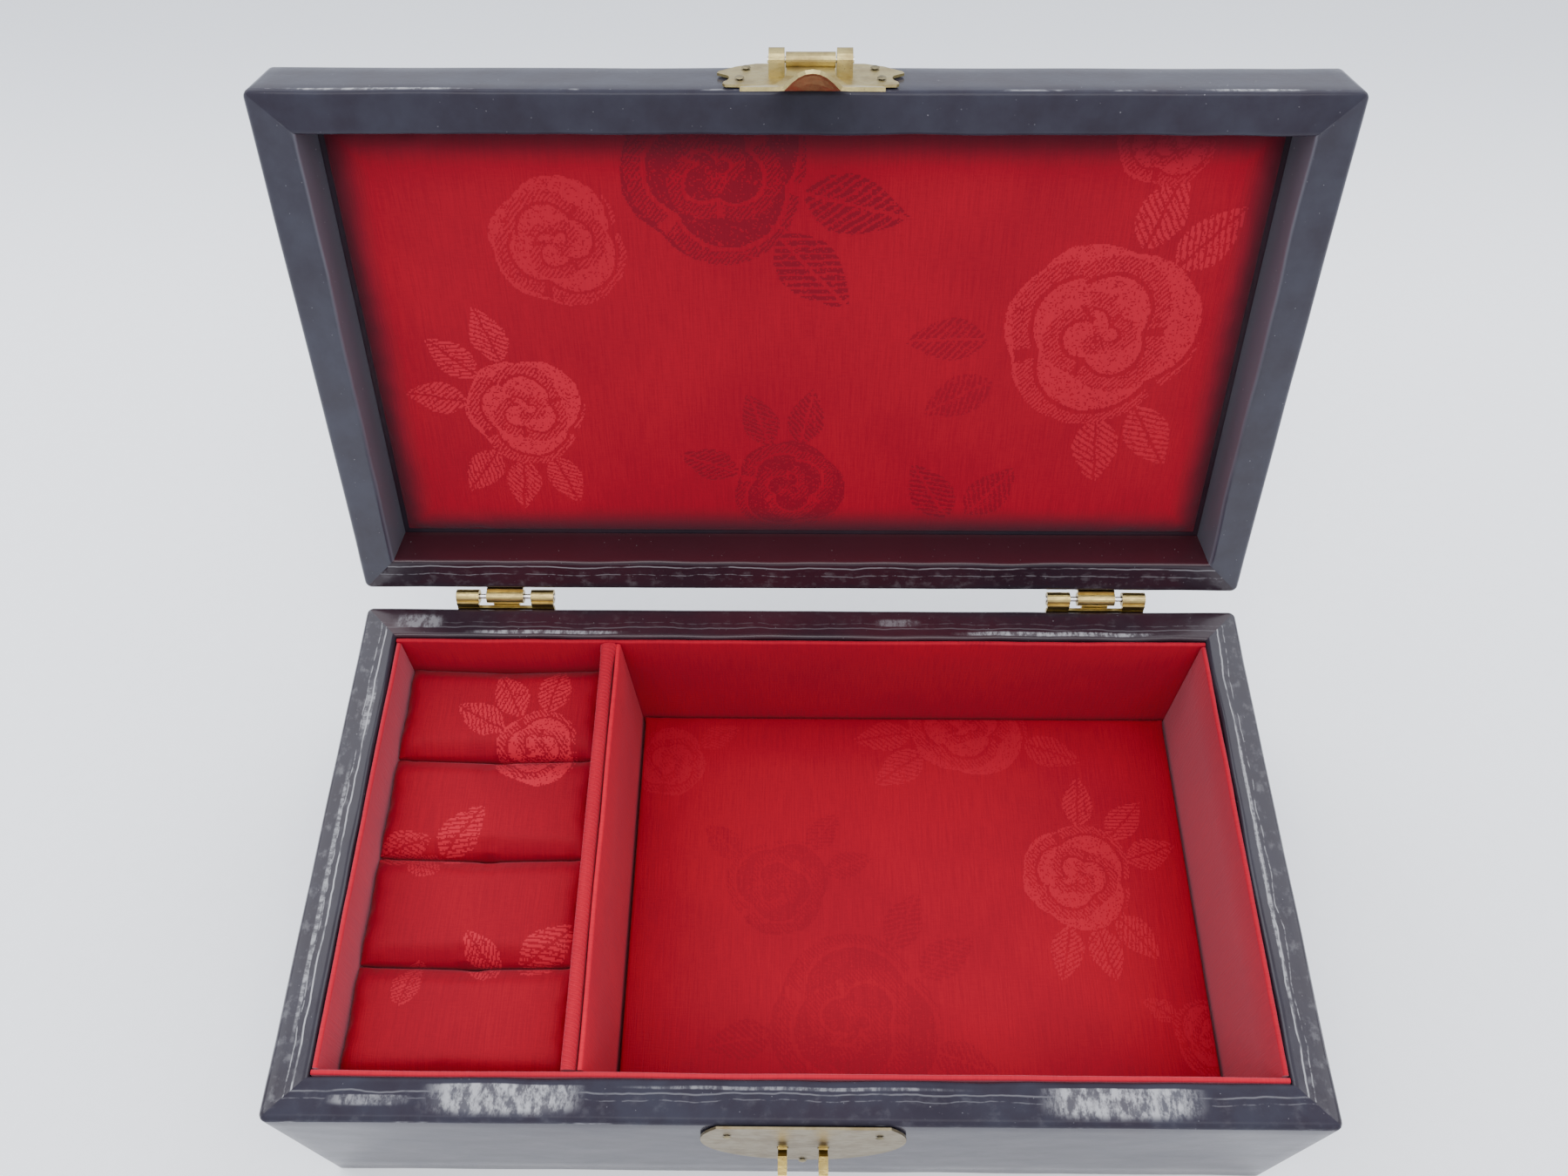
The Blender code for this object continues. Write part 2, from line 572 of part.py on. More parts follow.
def make_catch(base_front):
    plate_y = -HALF_DEPTH - PLATE_MIDDLE
    mesh = flat_outline("catch_plate", [catch_outline()], PLATE_THICKNESS, UPRIGHT_ALONG_Y)
    plate = add_piece("catch_plate", mesh, BRASS, (CATCH_X, plate_y, BASE_HEIGHT), smooth=True)
    for i, (x, drop) in enumerate(CATCH_NAILS):
        place = (CATCH_X + x, -HALF_DEPTH, BASE_HEIGHT + drop)
        add_nail(f"catch_plate_nail_{i + 1}", *place, GAP + PLATE_THICKNESS, -1, (plate, base_front))
    staple_z = BASE_HEIGHT - STAPLE_DEPTH
    outward = Matrix.Scale(-1, 4, (0, 1, 0)) @ UPRIGHT_ALONG_X
    for side, direction in (("left", -1), ("right", 1)):
        name = f"staple_{side}"
        x = CATCH_X + direction * STAPLE_SPACING
        mesh = flat_outline(name, staple_outlines(), STAPLE_WIDTH, outward)
        add_piece(name, mesh, BRASS, (x, -HALF_DEPTH, staple_z), smooth=True)
        hole = block(name + "_hole", (STAPLE_WIDTH + 2 * GAP, STAPLE_HOLE_LENGTH, 2 * (STAPLE_LEG + GAP)))
        hole = tool(hole.name, hole, (x, -HALF_DEPTH, staple_z))
        cut(plate, hole)
        cut(base_front, hole)


# ---- Latch plate, pin and hasp flap on the lid ---------------------------------------------------
def latch_outline():
    """The plate with a fish-tail at each end, heights from the lid's mating plane."""
    right = [(0.0, 0.0015), (0.0090, 0.0011), (0.0190, 0.0016), (0.0196, 0.0023)]
    right += arc((0.0219, 0.0064), 0.0036, 225, 150, 5)
    right += [(0.0212, 0.0101), (0.0209, 0.0113), (0.0170, 0.0150), (0.0125, 0.0172), (0.0, 0.0173)]
    left = [(-x, z) for x, z in reversed(right[1:-1])]
    return right + left


def ear_outline():
    """An ear's side view from the hasp axis: round in front and reaching back into the plate."""
    back = HASP_AXIS_OFFSET - PLATE_MIDDLE
    return [(back, -EAR_RADIUS)] + [(back, EAR_RADIUS)] + arc((0.0, 0.0), EAR_RADIUS, 90, 270, 12)


def make_latch(lid_front):
    plate_y = -HALF_DEPTH - PLATE_MIDDLE
    mesh = flat_outline("latch_plate", [latch_outline()], PLATE_THICKNESS, UPRIGHT_ALONG_Y)
    plate = add_piece("latch_plate", mesh, BRASS, (LATCH_X, plate_y, MATING_Z), LID_PIVOT, smooth=True)
    for side in (-1, 1):
        ear = flat_outline(f"latch_ear_{side + 2}", [ear_outline()], EAR_WIDTH, UPRIGHT_ALONG_X)
        place = (LATCH_X + side * (EAR_INNER + EAR_WIDTH / 2), HASP_AXIS.y, HASP_AXIS.z)
        join(plate, tool(ear.name, ear, place, LID_PIVOT))
    bore = rod("latch_plate_bore", KNUCKLE_BORE, PIN_BORE_LENGTH, 20)
    cut(plate, tool(bore.name, bore, HASP_AXIS, LID_PIVOT))
    for i, (x, height) in enumerate(LATCH_NAILS):
        place = (LATCH_X + x, -HALF_DEPTH, MATING_Z + height)
        name = f"latch_plate_nail_{i + 1}"
        add_nail(name, *place, GAP + PLATE_THICKNESS, -1, (plate, lid_front), LID_PIVOT)
    pin = rod("hasp_pin", PIN_RADIUS, 2 * (EAR_INNER + EAR_WIDTH + GAP))
    add_piece("hasp_pin", pin, STEEL, HASP_AXIS, LID_PIVOT, smooth=True)


def flap_point(across, along):
    """A point of the flap's middle surface from the hasp axis, the flap hanging. across runs from -1 to 1,
    and along from 0 at the curl to 1 at the free end, where a thumb arch bulges outwards."""
    scallop = HASP_SCALLOP * math.sin(math.pi * across) ** 2
    drop = along * (HASP_LENGTH - scallop * along ** 4)
    spread = smoothstep(*HASP_SPREAD, drop)
    ripple = HASP_RIPPLE * math.sin(2 * math.pi * spread)
    half_width = HASP_NECK_HALF_WIDTH + (HASP_HALF_WIDTH - HASP_NECK_HALF_WIDTH) * spread + ripple
    x = across * half_width
    start = HASP_CURL_RADIUS - HASP_THICKNESS / 2
    plane = start + (HASP_PLANE_OFFSET - start) * smoothstep(*HASP_STEP, drop)
    kick = HASP_KICK * (drop - HASP_KICK_START) * smoothstep(*HASP_BEND, drop)
    arch = max(0.0, 1.0 - (x / THUMB_ARCH_HALF_WIDTH) ** 2) * smoothstep(*THUMB_ARCH_RISE, drop)
    return Vector((x, plane - kick - THUMB_ARCH_HEIGHT * arch, -drop))


def make_hasp():
    columns = 20
    rows = 24

    def build(bm):
        bmesh.ops.create_grid(bm, x_segments=columns, y_segments=rows, size=1.0)
        for vertex in bm.verts:
            vertex.co = flap_point(vertex.co.x, ((1.0 - vertex.co.y) / 2) ** 0.8)
    flap = add_piece("hasp_flap", mesh_from("hasp_flap", build), BRASS, HASP_AXIS, HASP_PIVOT, smooth=True)
    sheet = flap.modifiers.new("sheet", "SOLIDIFY")
    sheet.thickness = HASP_THICKNESS
    sheet.offset = 0.0
    sheet.use_even_offset = True
    curl = rod("hasp_curl", HASP_CURL_RADIUS, 2 * (EAR_INNER - HASP_CURL_CLEARANCE), 24)
    join(flap, tool(curl.name, curl, HASP_AXIS, HASP_PIVOT))
    bore = rod("hasp_bore", KNUCKLE_BORE, PIN_BORE_LENGTH, 20)
    cut(flap, tool(bore.name, bore, HASP_AXIS, HASP_PIVOT))
    slot_y = HASP_AXIS.y + HASP_PLANE_OFFSET - HASP_KICK * (HASP_SLOT_DROP - HASP_KICK_START)
    for side in (-1, 1):
        slot = block(f"hasp_slot_{side + 2}", HASP_SLOT)
        place = (CATCH_X + side * STAPLE_SPACING, slot_y, HASP_AXIS.z - HASP_SLOT_DROP)
        cut(flap, tool(slot.name, slot, place, HASP_PIVOT))


# ---- Assembly ------------------------------------------------------------------------------------
def main():
    base_walls = make_walls("base", BASE_HEIGHT, BOTTOM_PANEL_THICKNESS + GAP, 0.0, 0.0)
    make_panel("base_bottom_panel", BOTTOM_PANEL_THICKNESS, BOTTOM_PANEL_THICKNESS / 2)
    make_tray()
    panel_inner = LID_HEIGHT - TOP_PANEL_THICKNESS - GAP
    lid_walls = make_walls("lid", LID_HEIGHT, 0.0, panel_inner, MATING_Z, LID_PIVOT)
    panel_middle = MATING_Z + LID_HEIGHT - TOP_PANEL_THICKNESS / 2
    make_panel("lid_top_panel", TOP_PANEL_THICKNESS, panel_middle, LID_PIVOT)
    make_lid_lining()
    make_hinges(base_walls["back"], lid_walls["back"])
    make_catch(base_walls["front"])
    make_latch(lid_walls["front"])
    make_hasp()


main()
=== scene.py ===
"""Visual model of the lacquered jewelry box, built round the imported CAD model. Metres, +Z up."""
import math

import bmesh
import bpy
from mathutils import Matrix, Vector, noise


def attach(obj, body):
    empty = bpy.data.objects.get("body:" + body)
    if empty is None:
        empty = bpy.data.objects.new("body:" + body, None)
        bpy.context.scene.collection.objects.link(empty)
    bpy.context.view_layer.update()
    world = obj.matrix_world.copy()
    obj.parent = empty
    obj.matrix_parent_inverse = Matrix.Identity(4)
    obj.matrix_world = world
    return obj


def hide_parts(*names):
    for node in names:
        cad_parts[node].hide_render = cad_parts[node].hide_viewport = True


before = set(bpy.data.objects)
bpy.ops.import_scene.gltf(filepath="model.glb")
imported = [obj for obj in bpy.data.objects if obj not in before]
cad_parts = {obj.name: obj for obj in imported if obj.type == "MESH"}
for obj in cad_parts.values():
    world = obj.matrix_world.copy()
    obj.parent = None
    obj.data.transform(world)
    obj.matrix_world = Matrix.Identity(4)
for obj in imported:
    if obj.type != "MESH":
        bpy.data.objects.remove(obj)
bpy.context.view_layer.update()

# ---- Dimensions, in metres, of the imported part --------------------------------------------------
HALF_LENGTH = 0.125
HALF_DEPTH = 0.070
BASE_HEIGHT = 0.064
WALL = 0.010
MATING_Z = 0.0645                 # underside of the shut lid
LID_HEIGHT = 0.0188
LID_PANEL_Z = 0.0785              # underside of the shut lid's top panel
BOTTOM_PANEL_TOP = 0.0083
LID_AXIS = Vector((0.0, 0.07294, 0.0650))
LID_OPEN = math.radians(109.0)
LINER_FOOT = 0.0121
LINER_TOP = 0.0636
LINER_X = 0.1147                  # outer faces of the liners, from the middle
LINER_Y = 0.0597
LINER = 0.0013
SHORT_STRIP_Y = 0.0580            # half the length of the strips that run front to back
DIVIDER_LEFT = -0.0563
DIVIDER_RIGHT = -0.0526
DIVIDER_TOP = 0.0641
CARD_TOP_X = -0.0516              # the card that leans against the divider
CARD_FOOT_X = -0.0490
FLOOR_Z = 0.020
FLOOR_PAD_PLAN = ((-0.0486, -0.0585), (0.1135, 0.0585))
ROLL_LEFT = -0.1131
ROLL_RIGHT = -0.0566
ROLL_TOP = 0.0515
ROLL_HEIGHT = 0.023
ROLL_COUNT = 4
ROLLS_HALF_Y = 0.0584
ROLL_GAP = 0.00015                # taken off each end of a roll's pitch
LID_PAD_X = 0.1137                # half sizes of the lid's lining
LID_PAD_Y = 0.0587
LID_PAD_HEIGHT = 0.0028
LID_PAD_BORDER = 0.0110           # width of the painted shade along the pad's edges
RABBET = 0.005
CATCH_X = 0.0011
STAPLE_SPACING = 0.00493
SHADE_SPOT_DEPTH = 0.0175              # painted shade's depth below the rim, just above each staple

TO_OPEN_LID = (Matrix.Translation(LID_AXIS) @ Matrix.Rotation(-LID_OPEN, 4, "X")
               @ Matrix.Translation(-LID_AXIS))


# ---- Node graphs --------------------------------------------------------------------------------
class Graph:
    """A material's nodes: each call adds one node and gives back its output socket."""

    def __init__(self, name, **constants):
        self.material = bpy.data.materials.new(name)
        self.material.use_nodes = True
        self.tree = self.material.node_tree
        self.shader = self.tree.nodes["Principled BSDF"]
        for socket, value in constants.items():
            self.shader.inputs[socket.replace("_", " ")].default_value = value

    def add(self, kind, inputs, output=0, **settings):
        node = self.tree.nodes.new(kind)
        for key, value in settings.items():
            setattr(node, key, value)
        for key, value in inputs.items():
            if isinstance(value, bpy.types.NodeSocket):
                self.tree.links.new(value, node.inputs[key])
            else:
                node.inputs[key].default_value = value
        return node.outputs[output]

    def math(self, operation, a, b=0.0, c=0.0):
        """One sum. An input that the operation doesn't read is left alone."""
        inputs = {0: a}
        if operation not in ("SINE", "ABSOLUTE", "FRACT", "FLOOR"):
            inputs[1] = b
        if operation == "MULTIPLY_ADD":
            inputs[2] = c
        return self.add("ShaderNodeMath", inputs, operation=operation)

    def times(self, first, *others):
        """The product of all the values."""
        for other in others:
            first = self.math("MULTIPLY", first, other)
        return first

    def most(self, first, *others):
        """The largest of the values."""
        for other in others:
            first = self.math("MAXIMUM", first, other)
        return first

    def ramp(self, value, low, high, out_low=0.0, out_high=1.0):
        """A smooth step from out_low at low to out_high at high."""
        inputs = {0: value, 1: low, 2: high, 3: out_low, 4: out_high}
        return self.add("ShaderNodeMapRange", inputs, interpolation_type="SMOOTHSTEP")

    def mix(self, factor, a, b):
        return self.add("ShaderNodeMix", {0: factor, 6: a, 7: b}, 2, data_type="RGBA")

    def mix_value(self, factor, a, b):
        return self.add("ShaderNodeMix", {0: factor, 2: a, 3: b}, 0, data_type="FLOAT")

    def mix_vector(self, factor, a, b):
        return self.add("ShaderNodeMix", {0: factor, 4: a, 5: b}, 1, data_type="VECTOR")

    def thread_number(self, vector):
        """Whole numbers for each thread crossing, to feed the white noise."""
        scaled = self.add("ShaderNodeVectorMath", {0: vector, "Scale": 1.0 / THREAD}, operation="SCALE")
        return self.add("ShaderNodeVectorMath", {0: scaled}, operation="FLOOR")

    def object_place(self):
        return self.add("ShaderNodeTexCoord", {}, 3)

    def uv(self):
        return self.add("ShaderNodeUVMap", {}, 0, uv_map="cloth")

    def split(self, vector):
        node = self.tree.nodes.new("ShaderNodeSeparateXYZ")
        self.tree.links.new(vector, node.inputs[0])
        return node.outputs[0], node.outputs[1], node.outputs[2]

    def noise(self, vector, scale, detail=2.0, stretch=(1.0, 1.0, 1.0), shift=(0.0, 0.0, 0.0), rough=0.5):
        """Fractal noise, its pattern finer by stretch along each axis and moved by shift."""
        place = self.add("ShaderNodeMapping", {0: vector, 1: shift, 3: stretch})
        return self.add("ShaderNodeTexNoise", {"Vector": place, "Scale": scale, "Detail": detail,
                                               "Roughness": rough})

    def bump(self, height, distance, strength, normal=None):
        inputs = {"Height": height, "Distance": distance, "Strength": strength}
        if normal is not None:
            inputs["Normal"] = normal
        return self.add("ShaderNodeBump", inputs)

    def finish(self, colour, roughness, normal):
        for socket, value in (("Base Color", colour), ("Roughness", roughness), ("Normal", normal)):
            self.tree.links.new(value, self.shader.inputs[socket])
        return self.material


# ---- Lacquer ------------------------------------------------------------------------------------
# Whitish marks on the lacquer, partly wear and partly painted highlight.
PALE_WEAR_AND_GLINT = (0.33, 0.33, 0.35, 1.0)
DARK_LACQUER = (0.012, 0.006, 0.010, 1.0)
RED_LACQUER = (0.036, 0.0045, 0.0085, 1.0)
# Bluish grey smears, partly dust and partly painted reflection of the pale room.
DUST_AND_REFLECTION_GREY = (0.034, 0.035, 0.050, 1.0)
# Painted reflections for the lid's inner faces: slate for the room's light, maroon for the red lining.
SLATE_PAINTED_REFLECTION = (0.110, 0.108, 0.132, 1.0)
MAROON_PAINTED_REFLECTION = (0.055, 0.010, 0.015, 1.0)
LINE_WANDER = 0.0022              # how far the pale line of wear and painted highlight strays from its mean distance, end to end


def lacquer(name, scuffs_and_glints=(), line=0.0, line_reach=0.0022, dust_and_reflection=0.5, red=0.35, edge=0.4, seed=0.0,
            inner=(0.0, DUST_AND_REFLECTION_GREY), gloss=0.30):
    """Glossy dark lacquer. The map runs along the wall, then outwards over the rim from its inner edge, in
    metres. scuffs are (start, end, from, to, amount) whitish patches, partly wear and partly painted
    highlight, line is a thin pale line beside the lining, partly wear and partly painted highlight,
    line_reach how far out it lies, haze the smears of dust and painted reflection, red how much maroon shows
    and edge the wear on the rim's outer corner. inner is how far the inner face turns to a painted
    reflection colour, with that colour, and gloss is the specular level."""
    g = Graph(name, Specular_IOR_Level=gloss, IOR=1.50)
    solid = g.object_place()
    place = g.uv()
    along, across, _ = g.split(place)
    shift = (seed, 0.37 * seed, 0.0)
    tone = g.noise(solid, 22.0, 3.0)
    smear = g.noise(solid, 85.0, 5.0, rough=0.62)
    fine = g.noise(solid, 620.0, 5.0, rough=0.7)
    lumps = g.noise(place, 1.0, 5.0, (300.0, 330.0, 1.0), shift, 0.62)
    streaks = g.noise(place, 1.0, 6.0, (420.0, 210.0, 1.0), shift, 0.70)
    breaks = g.noise(place, 1.0, 4.0, (70.0, 160.0, 1.0), shift, 0.65)

    colour = g.mix(g.times(g.ramp(tone, 0.25, 0.75), red), DARK_LACQUER, RED_LACQUER)
    # Bluish grey smears, partly dust and partly painted reflection of the pale room.
    colour = g.mix(g.times(g.ramp(smear, 0.25, 0.75, 0.55, 1.0), dust_and_reflection), colour, DUST_AND_REFLECTION_GREY)

    # Painted reflection: the inner face turns to the colour that inner gives.
    colour = g.mix(g.ramp(across, -0.0012, -0.0002, inner[0], 0.0), colour, inner[1])

    # A thin pale line beside the lining, partly wear and partly painted highlight on the rim's gloss.
    wander = g.noise(place, 1.0, 3.0, (75.0, 0.0, 1.0), shift)
    middle = g.math("MULTIPLY_ADD", wander, LINE_WANDER, line_reach - LINE_WANDER / 2)
    offset = g.math("ABSOLUTE", g.math("SUBTRACT", across, middle))
    wear_and_glint_line = g.times(g.ramp(offset, 0.00005, 0.00030, 1.0, 0.0), g.ramp(breaks, 0.32, 0.48), line)
    # A second pale line further out, partly wear and partly painted highlight.
    middle = g.math("MULTIPLY_ADD", wander, 0.0030, 0.0022)
    second = g.math("ABSOLUTE", g.math("SUBTRACT", across, middle))
    second = g.times(g.ramp(second, 0.00003, 0.00022, 1.0, 0.0), g.ramp(lumps, 0.40, 0.56), 0.7 * line)
    corner = g.math("ABSOLUTE", g.math("SUBTRACT", across, WALL - 0.0004))
    corner = g.times(g.ramp(corner, 0.0001, 0.0006, 1.0, 0.0), g.ramp(breaks, 0.54, 0.66), edge)
    rubbed = g.times(g.ramp(lumps, 0.50, 0.74), g.ramp(across, 0.0012, 0.0030),
                     g.ramp(across, WALL - 0.0010, WALL + 0.0005, 1.0, 0.0), 0.22 * line)
    pale = g.most(wear_and_glint_line, second, corner, rubbed)
    # Whitish patches, partly wear and partly painted highlight in the wavy gloss.
    for start, end, inner_edge, outer_edge, amount in scuffs_and_glints:
        end_fade = 0.34 * (end - start)
        fade = 0.55 * (outer_edge - inner_edge)
        window = g.times(g.ramp(along, start, start + end_fade),
                         g.ramp(along, end - end_fade, end, 1.0, 0.0),
                         g.ramp(across, inner_edge - 0.0003, inner_edge + 0.0004),
                         g.ramp(across, outer_edge - fade, outer_edge, 1.0, 0.0))
        patch = g.math("MULTIPLY_ADD", g.ramp(streaks, 0.42, 0.60), 0.78, 0.16)
        pale = g.most(pale, g.times(g.ramp(window, 0.05, 0.75), patch, amount))
    specks = g.ramp(g.noise(place, 1.0, 0.0, (1500.0, 1500.0, 1.0), shift), 0.84, 0.88, 0.0, 0.35)
    pale = g.most(pale, specks)
    colour = g.mix(pale, colour, PALE_WEAR_AND_GLINT)

    rough = g.math("MULTIPLY_ADD", smear, 0.16, 0.10)
    rough = g.math("ADD", rough, g.times(pale, 0.30))
    normal = g.bump(tone, 0.0010, 0.55)
    normal = g.bump(fine, 0.00006, 0.35, normal)
    normal = g.bump(g.math("ADD", pale, g.times(smear, 0.5)), 0.00012, 0.6, normal)
    return g.finish(colour, rough, normal)


# ---- Red damask ---------------------------------------------------------------------------------
GROUND_RED = (0.310, 0.0045, 0.0160, 1.0)
DEEP_RED = (0.140, 0.0045, 0.0130, 1.0)
LIGHT_RED = (0.500, 0.0160, 0.0360, 1.0)
SHEEN_TINT = (0.90, 0.66, 0.82, 1.0)
SHADED_EDGE = (0.062, 0.0150, 0.0230, 1.0)
THREAD = 0.00036                  # width of one step in the woven figure
FIGURE_WANDER = 0.0010            # how far the figure's outline strays
HATCH = 0.0012                    # spacing of the satin's slanted lines
TWILL = 0.0011                    # spacing of the divider's diagonal ribs


def nearest_motif(g, woven, motifs):
    """The map in the nearest motif's own units, with the distance and the strength. motifs are
    (x, y, radius, turn, strength)."""
    nearest = None
    for x, y, radius, turn, strength in motifs:
        local = g.add("ShaderNodeMapping", {0: woven, 1: (x, y, 0.0), 2: (0.0, 0.0, turn),
                                            3: (radius, radius, 1.0)}, vector_type="TEXTURE")
        flat = g.add("ShaderNodeVectorMath", {0: local, 1: (1.0, 1.0, 0.0)}, operation="MULTIPLY")
        distance = g.add("ShaderNodeVectorMath", {0: flat}, 1, operation="LENGTH")
        if nearest is None:
            nearest, reach, sign = flat, distance, g.math("ADD", strength, 0.0)
            continue
        closer = g.math("LESS_THAN", distance, reach)
        nearest = g.mix_vector(closer, nearest, flat)
        sign = g.mix_value(closer, sign, strength)
        reach = g.math("MINIMUM", reach, distance)
    x, y, _ = g.split(nearest)
    return x, y, reach, sign


def rose_heads(g, woven, slant, roses):
    """Petals wind outwards from the heart; each turn of the spiral is a ring of overlapping petals."""
    x, y, reach, sign = nearest_motif(g, woven, roses)
    angle = g.math("ARCTAN2", y, x)
    turns = g.times(g.math("POWER", reach, 0.85), 2.7)
    winding = g.math("MULTIPLY_ADD", angle, 1.0 / (2.0 * math.pi), turns)
    ring = g.math("FLOOR", winding)
    petal = g.math("ABSOLUTE", g.math("SINE", g.math("ADD", g.times(angle, 1.5), g.times(ring, 1.9))))
    q = g.math("FRACT", g.math("MULTIPLY_ADD", petal, -0.42, winding))
    bloom = g.math("LESS_THAN", reach, g.math("MULTIPLY_ADD", petal, 0.13, 0.88))
    seam = g.math("GREATER_THAN", q, 0.12)
    notch = g.most(g.math("GREATER_THAN", petal, 0.12), g.math("GREATER_THAN", q, 0.60))
    hatched = g.most(g.math("GREATER_THAN", slant, 0.45), g.math("GREATER_THAN", q, 0.52))
    return g.times(bloom, seam, notch, hatched, sign), bloom


def leaf_blades(g, woven, leaves):
    """Pointed leaves with a middle rib and slanting stripes; radius is half a leaf's length."""
    x, y, _, sign = nearest_motif(g, woven, leaves)
    taper = g.math("MAXIMUM", g.math("MULTIPLY_ADD", g.times(x, x), -1.0, 1.0), 0.0)
    width = g.times(taper, g.math("MULTIPLY_ADD", x, -0.20, 0.54))
    inside = g.math("LESS_THAN", g.math("ABSOLUTE", y), width)
    rib = g.math("GREATER_THAN", g.math("ABSOLUTE", y), 0.035)
    stripes = g.math("FRACT", g.times(g.math("MULTIPLY_ADD", y, 0.9, x), 5.5))
    stripes = g.math("GREATER_THAN", stripes, 0.36)
    return g.times(inside, rib, stripes, sign)


def rose_figure(g, place, roses, leaves):
    """Signed figure of satin roses with striped leaves, stepped to the weave's threads."""
    woven = g.add("ShaderNodeVectorMath", {0: place, 1: (THREAD, THREAD, THREAD)}, operation="SNAP")
    wander = g.add("ShaderNodeTexNoise", {"Vector": woven, "Scale": 260.0, "Detail": 1.0}, 1)
    wander = g.add("ShaderNodeVectorMath", {0: wander, 1: (0.5, 0.5, 0.5)}, operation="SUBTRACT")
    woven = g.add("ShaderNodeVectorMath", {0: wander, 1: (FIGURE_WANDER,) * 3, 2: woven},
                  operation="MULTIPLY_ADD")
    across, along, _ = g.split(woven)
    slant = g.math("FRACT", g.times(g.math("ADD", across, g.times(along, 0.8)), 1.0 / HATCH))
    heads, bloom = rose_heads(g, woven, slant, roses)
    blades = g.times(leaf_blades(g, woven, leaves), g.math("SUBTRACT", 1.0, bloom))
    speckle = g.add("ShaderNodeTexWhiteNoise", {"Vector": g.thread_number(woven)}, 0)
    return g.times(g.math("ADD", heads, blades), g.math("GREATER_THAN", speckle, 0.14))


# A figure is its sprigs and its loose leaves. A sprig is a rose's (x, y, radius, turn, strength), its
# leaves' half length in rose radii and their directions in degrees. A loose leaf is (x, y, half length,
# direction, strength). The strength paints the satin's sheen: where it is below nought the figure is darker
# than its ground, above nought lighter.
LINER_FIGURE = (
    (((-0.004, 0.052, 0.009, 0.4, 0.20), 0.6, (-30,)),
     ((0.050, 0.046, 0.018, 1.2, -0.34), 0.6, (200, 160, -20, 20)),
     ((0.100, 0.050, 0.012, 2.0, 0.16), 0.6, (180,))), ())
SIDE_FIGURE = (
    (((0.012, 0.038, 0.014, 0.9, -0.30), 0.6, (0, 40, 215)),
     ((-0.042, 0.044, 0.012, 2.2, 0.20), 0.6, (-100,))), ())
FLOOR_FIGURE = (
    (((0.0805, 0.0065, 0.0165, 0.3, 0.40), 0.50, (84, 48, 18, -50, -76, -104)),
     ((0.0150, -0.0350, 0.0240, 1.1, -0.26), 0.40, (62, 34, 190, -20)),
     ((-0.0060, 0.0030, 0.0150, 2.2, -0.26), 0.50, (18, 52, 140)),
     ((0.0520, 0.0560, 0.0190, 0.7, 0.24), 0.50, (190, 216, -22)),
     ((0.1120, -0.0390, 0.0110, 1.7, 0.25), 0.50, (150,)),
     ((-0.0400, 0.0420, 0.0120, 2.9, 0.18), 0.60, (30,))), ())
ROLL_FIGURE = (
    (((-0.0740, 0.0310, 0.0120, 0.5, 0.62), 0.70, (150, 118, 80)),),
    ((-0.0910, 0.0065, 0.0095, 55, 0.62), (-0.1060, 0.0020, 0.0080, 20, 0.50),
     (-0.0820, -0.0270, 0.0075, 125, 0.60), (-0.0650, -0.0250, 0.0095, 40, 0.58),
     (-0.0990, -0.0345, 0.0065, 75, 0.40), (-0.1010, -0.0030, 0.0060, 160, 0.45)))
LID_FIGURE = (
    (((-0.0743, 0.0175, 0.0165, 0.9, 0.60), 0.52, (-138, -108, -170, 126, 98, 68)),
     ((-0.0605, -0.0300, 0.0175, 0.2, 0.34), 0.40, ()),
     ((-0.0213, -0.0480, 0.0235, 0.65, -0.80), 0.58, (14, 47)),
     ((-0.0035, 0.0420, 0.0160, 1.75, -0.66), 0.55, (-110, -78, -160)),
     ((0.0765, -0.0055, 0.0262, 1.20, 0.46), 0.42, (-72, -48, 60, 84)),
     ((0.0850, -0.0560, 0.0120, 0.1, 0.34), 0.40, ())),
    ((0.0370, -0.0040, 0.0110, 178, -0.52), (0.0410, 0.0130, 0.0105, 150, -0.42),
     (0.0360, 0.0430, 0.0110, -120, -0.62), (0.0530, 0.0430, 0.0105, -52, -0.56)))
LEAF_REACH = 0.92                 # where a leaf starts, in radii of its rose


def gathered(figure):
    """The roses and the leaves of a figure, each as (x, y, size, turn, strength), with turns in radians."""
    sprigs, loose = figure
    roses = [rose for rose, _, _ in sprigs]
    leaves = [(x, y, size, math.radians(way), strength) for x, y, size, way, strength in loose]
    for (x, y, radius, _, strength), share, ways in sprigs:
        for way in map(math.radians, ways):
            out = radius * (LEAF_REACH + share)
            spot = (x + out * math.cos(way), y + out * math.sin(way))
            leaves.append((*spot, radius * share, way, strength))
    return roses, leaves


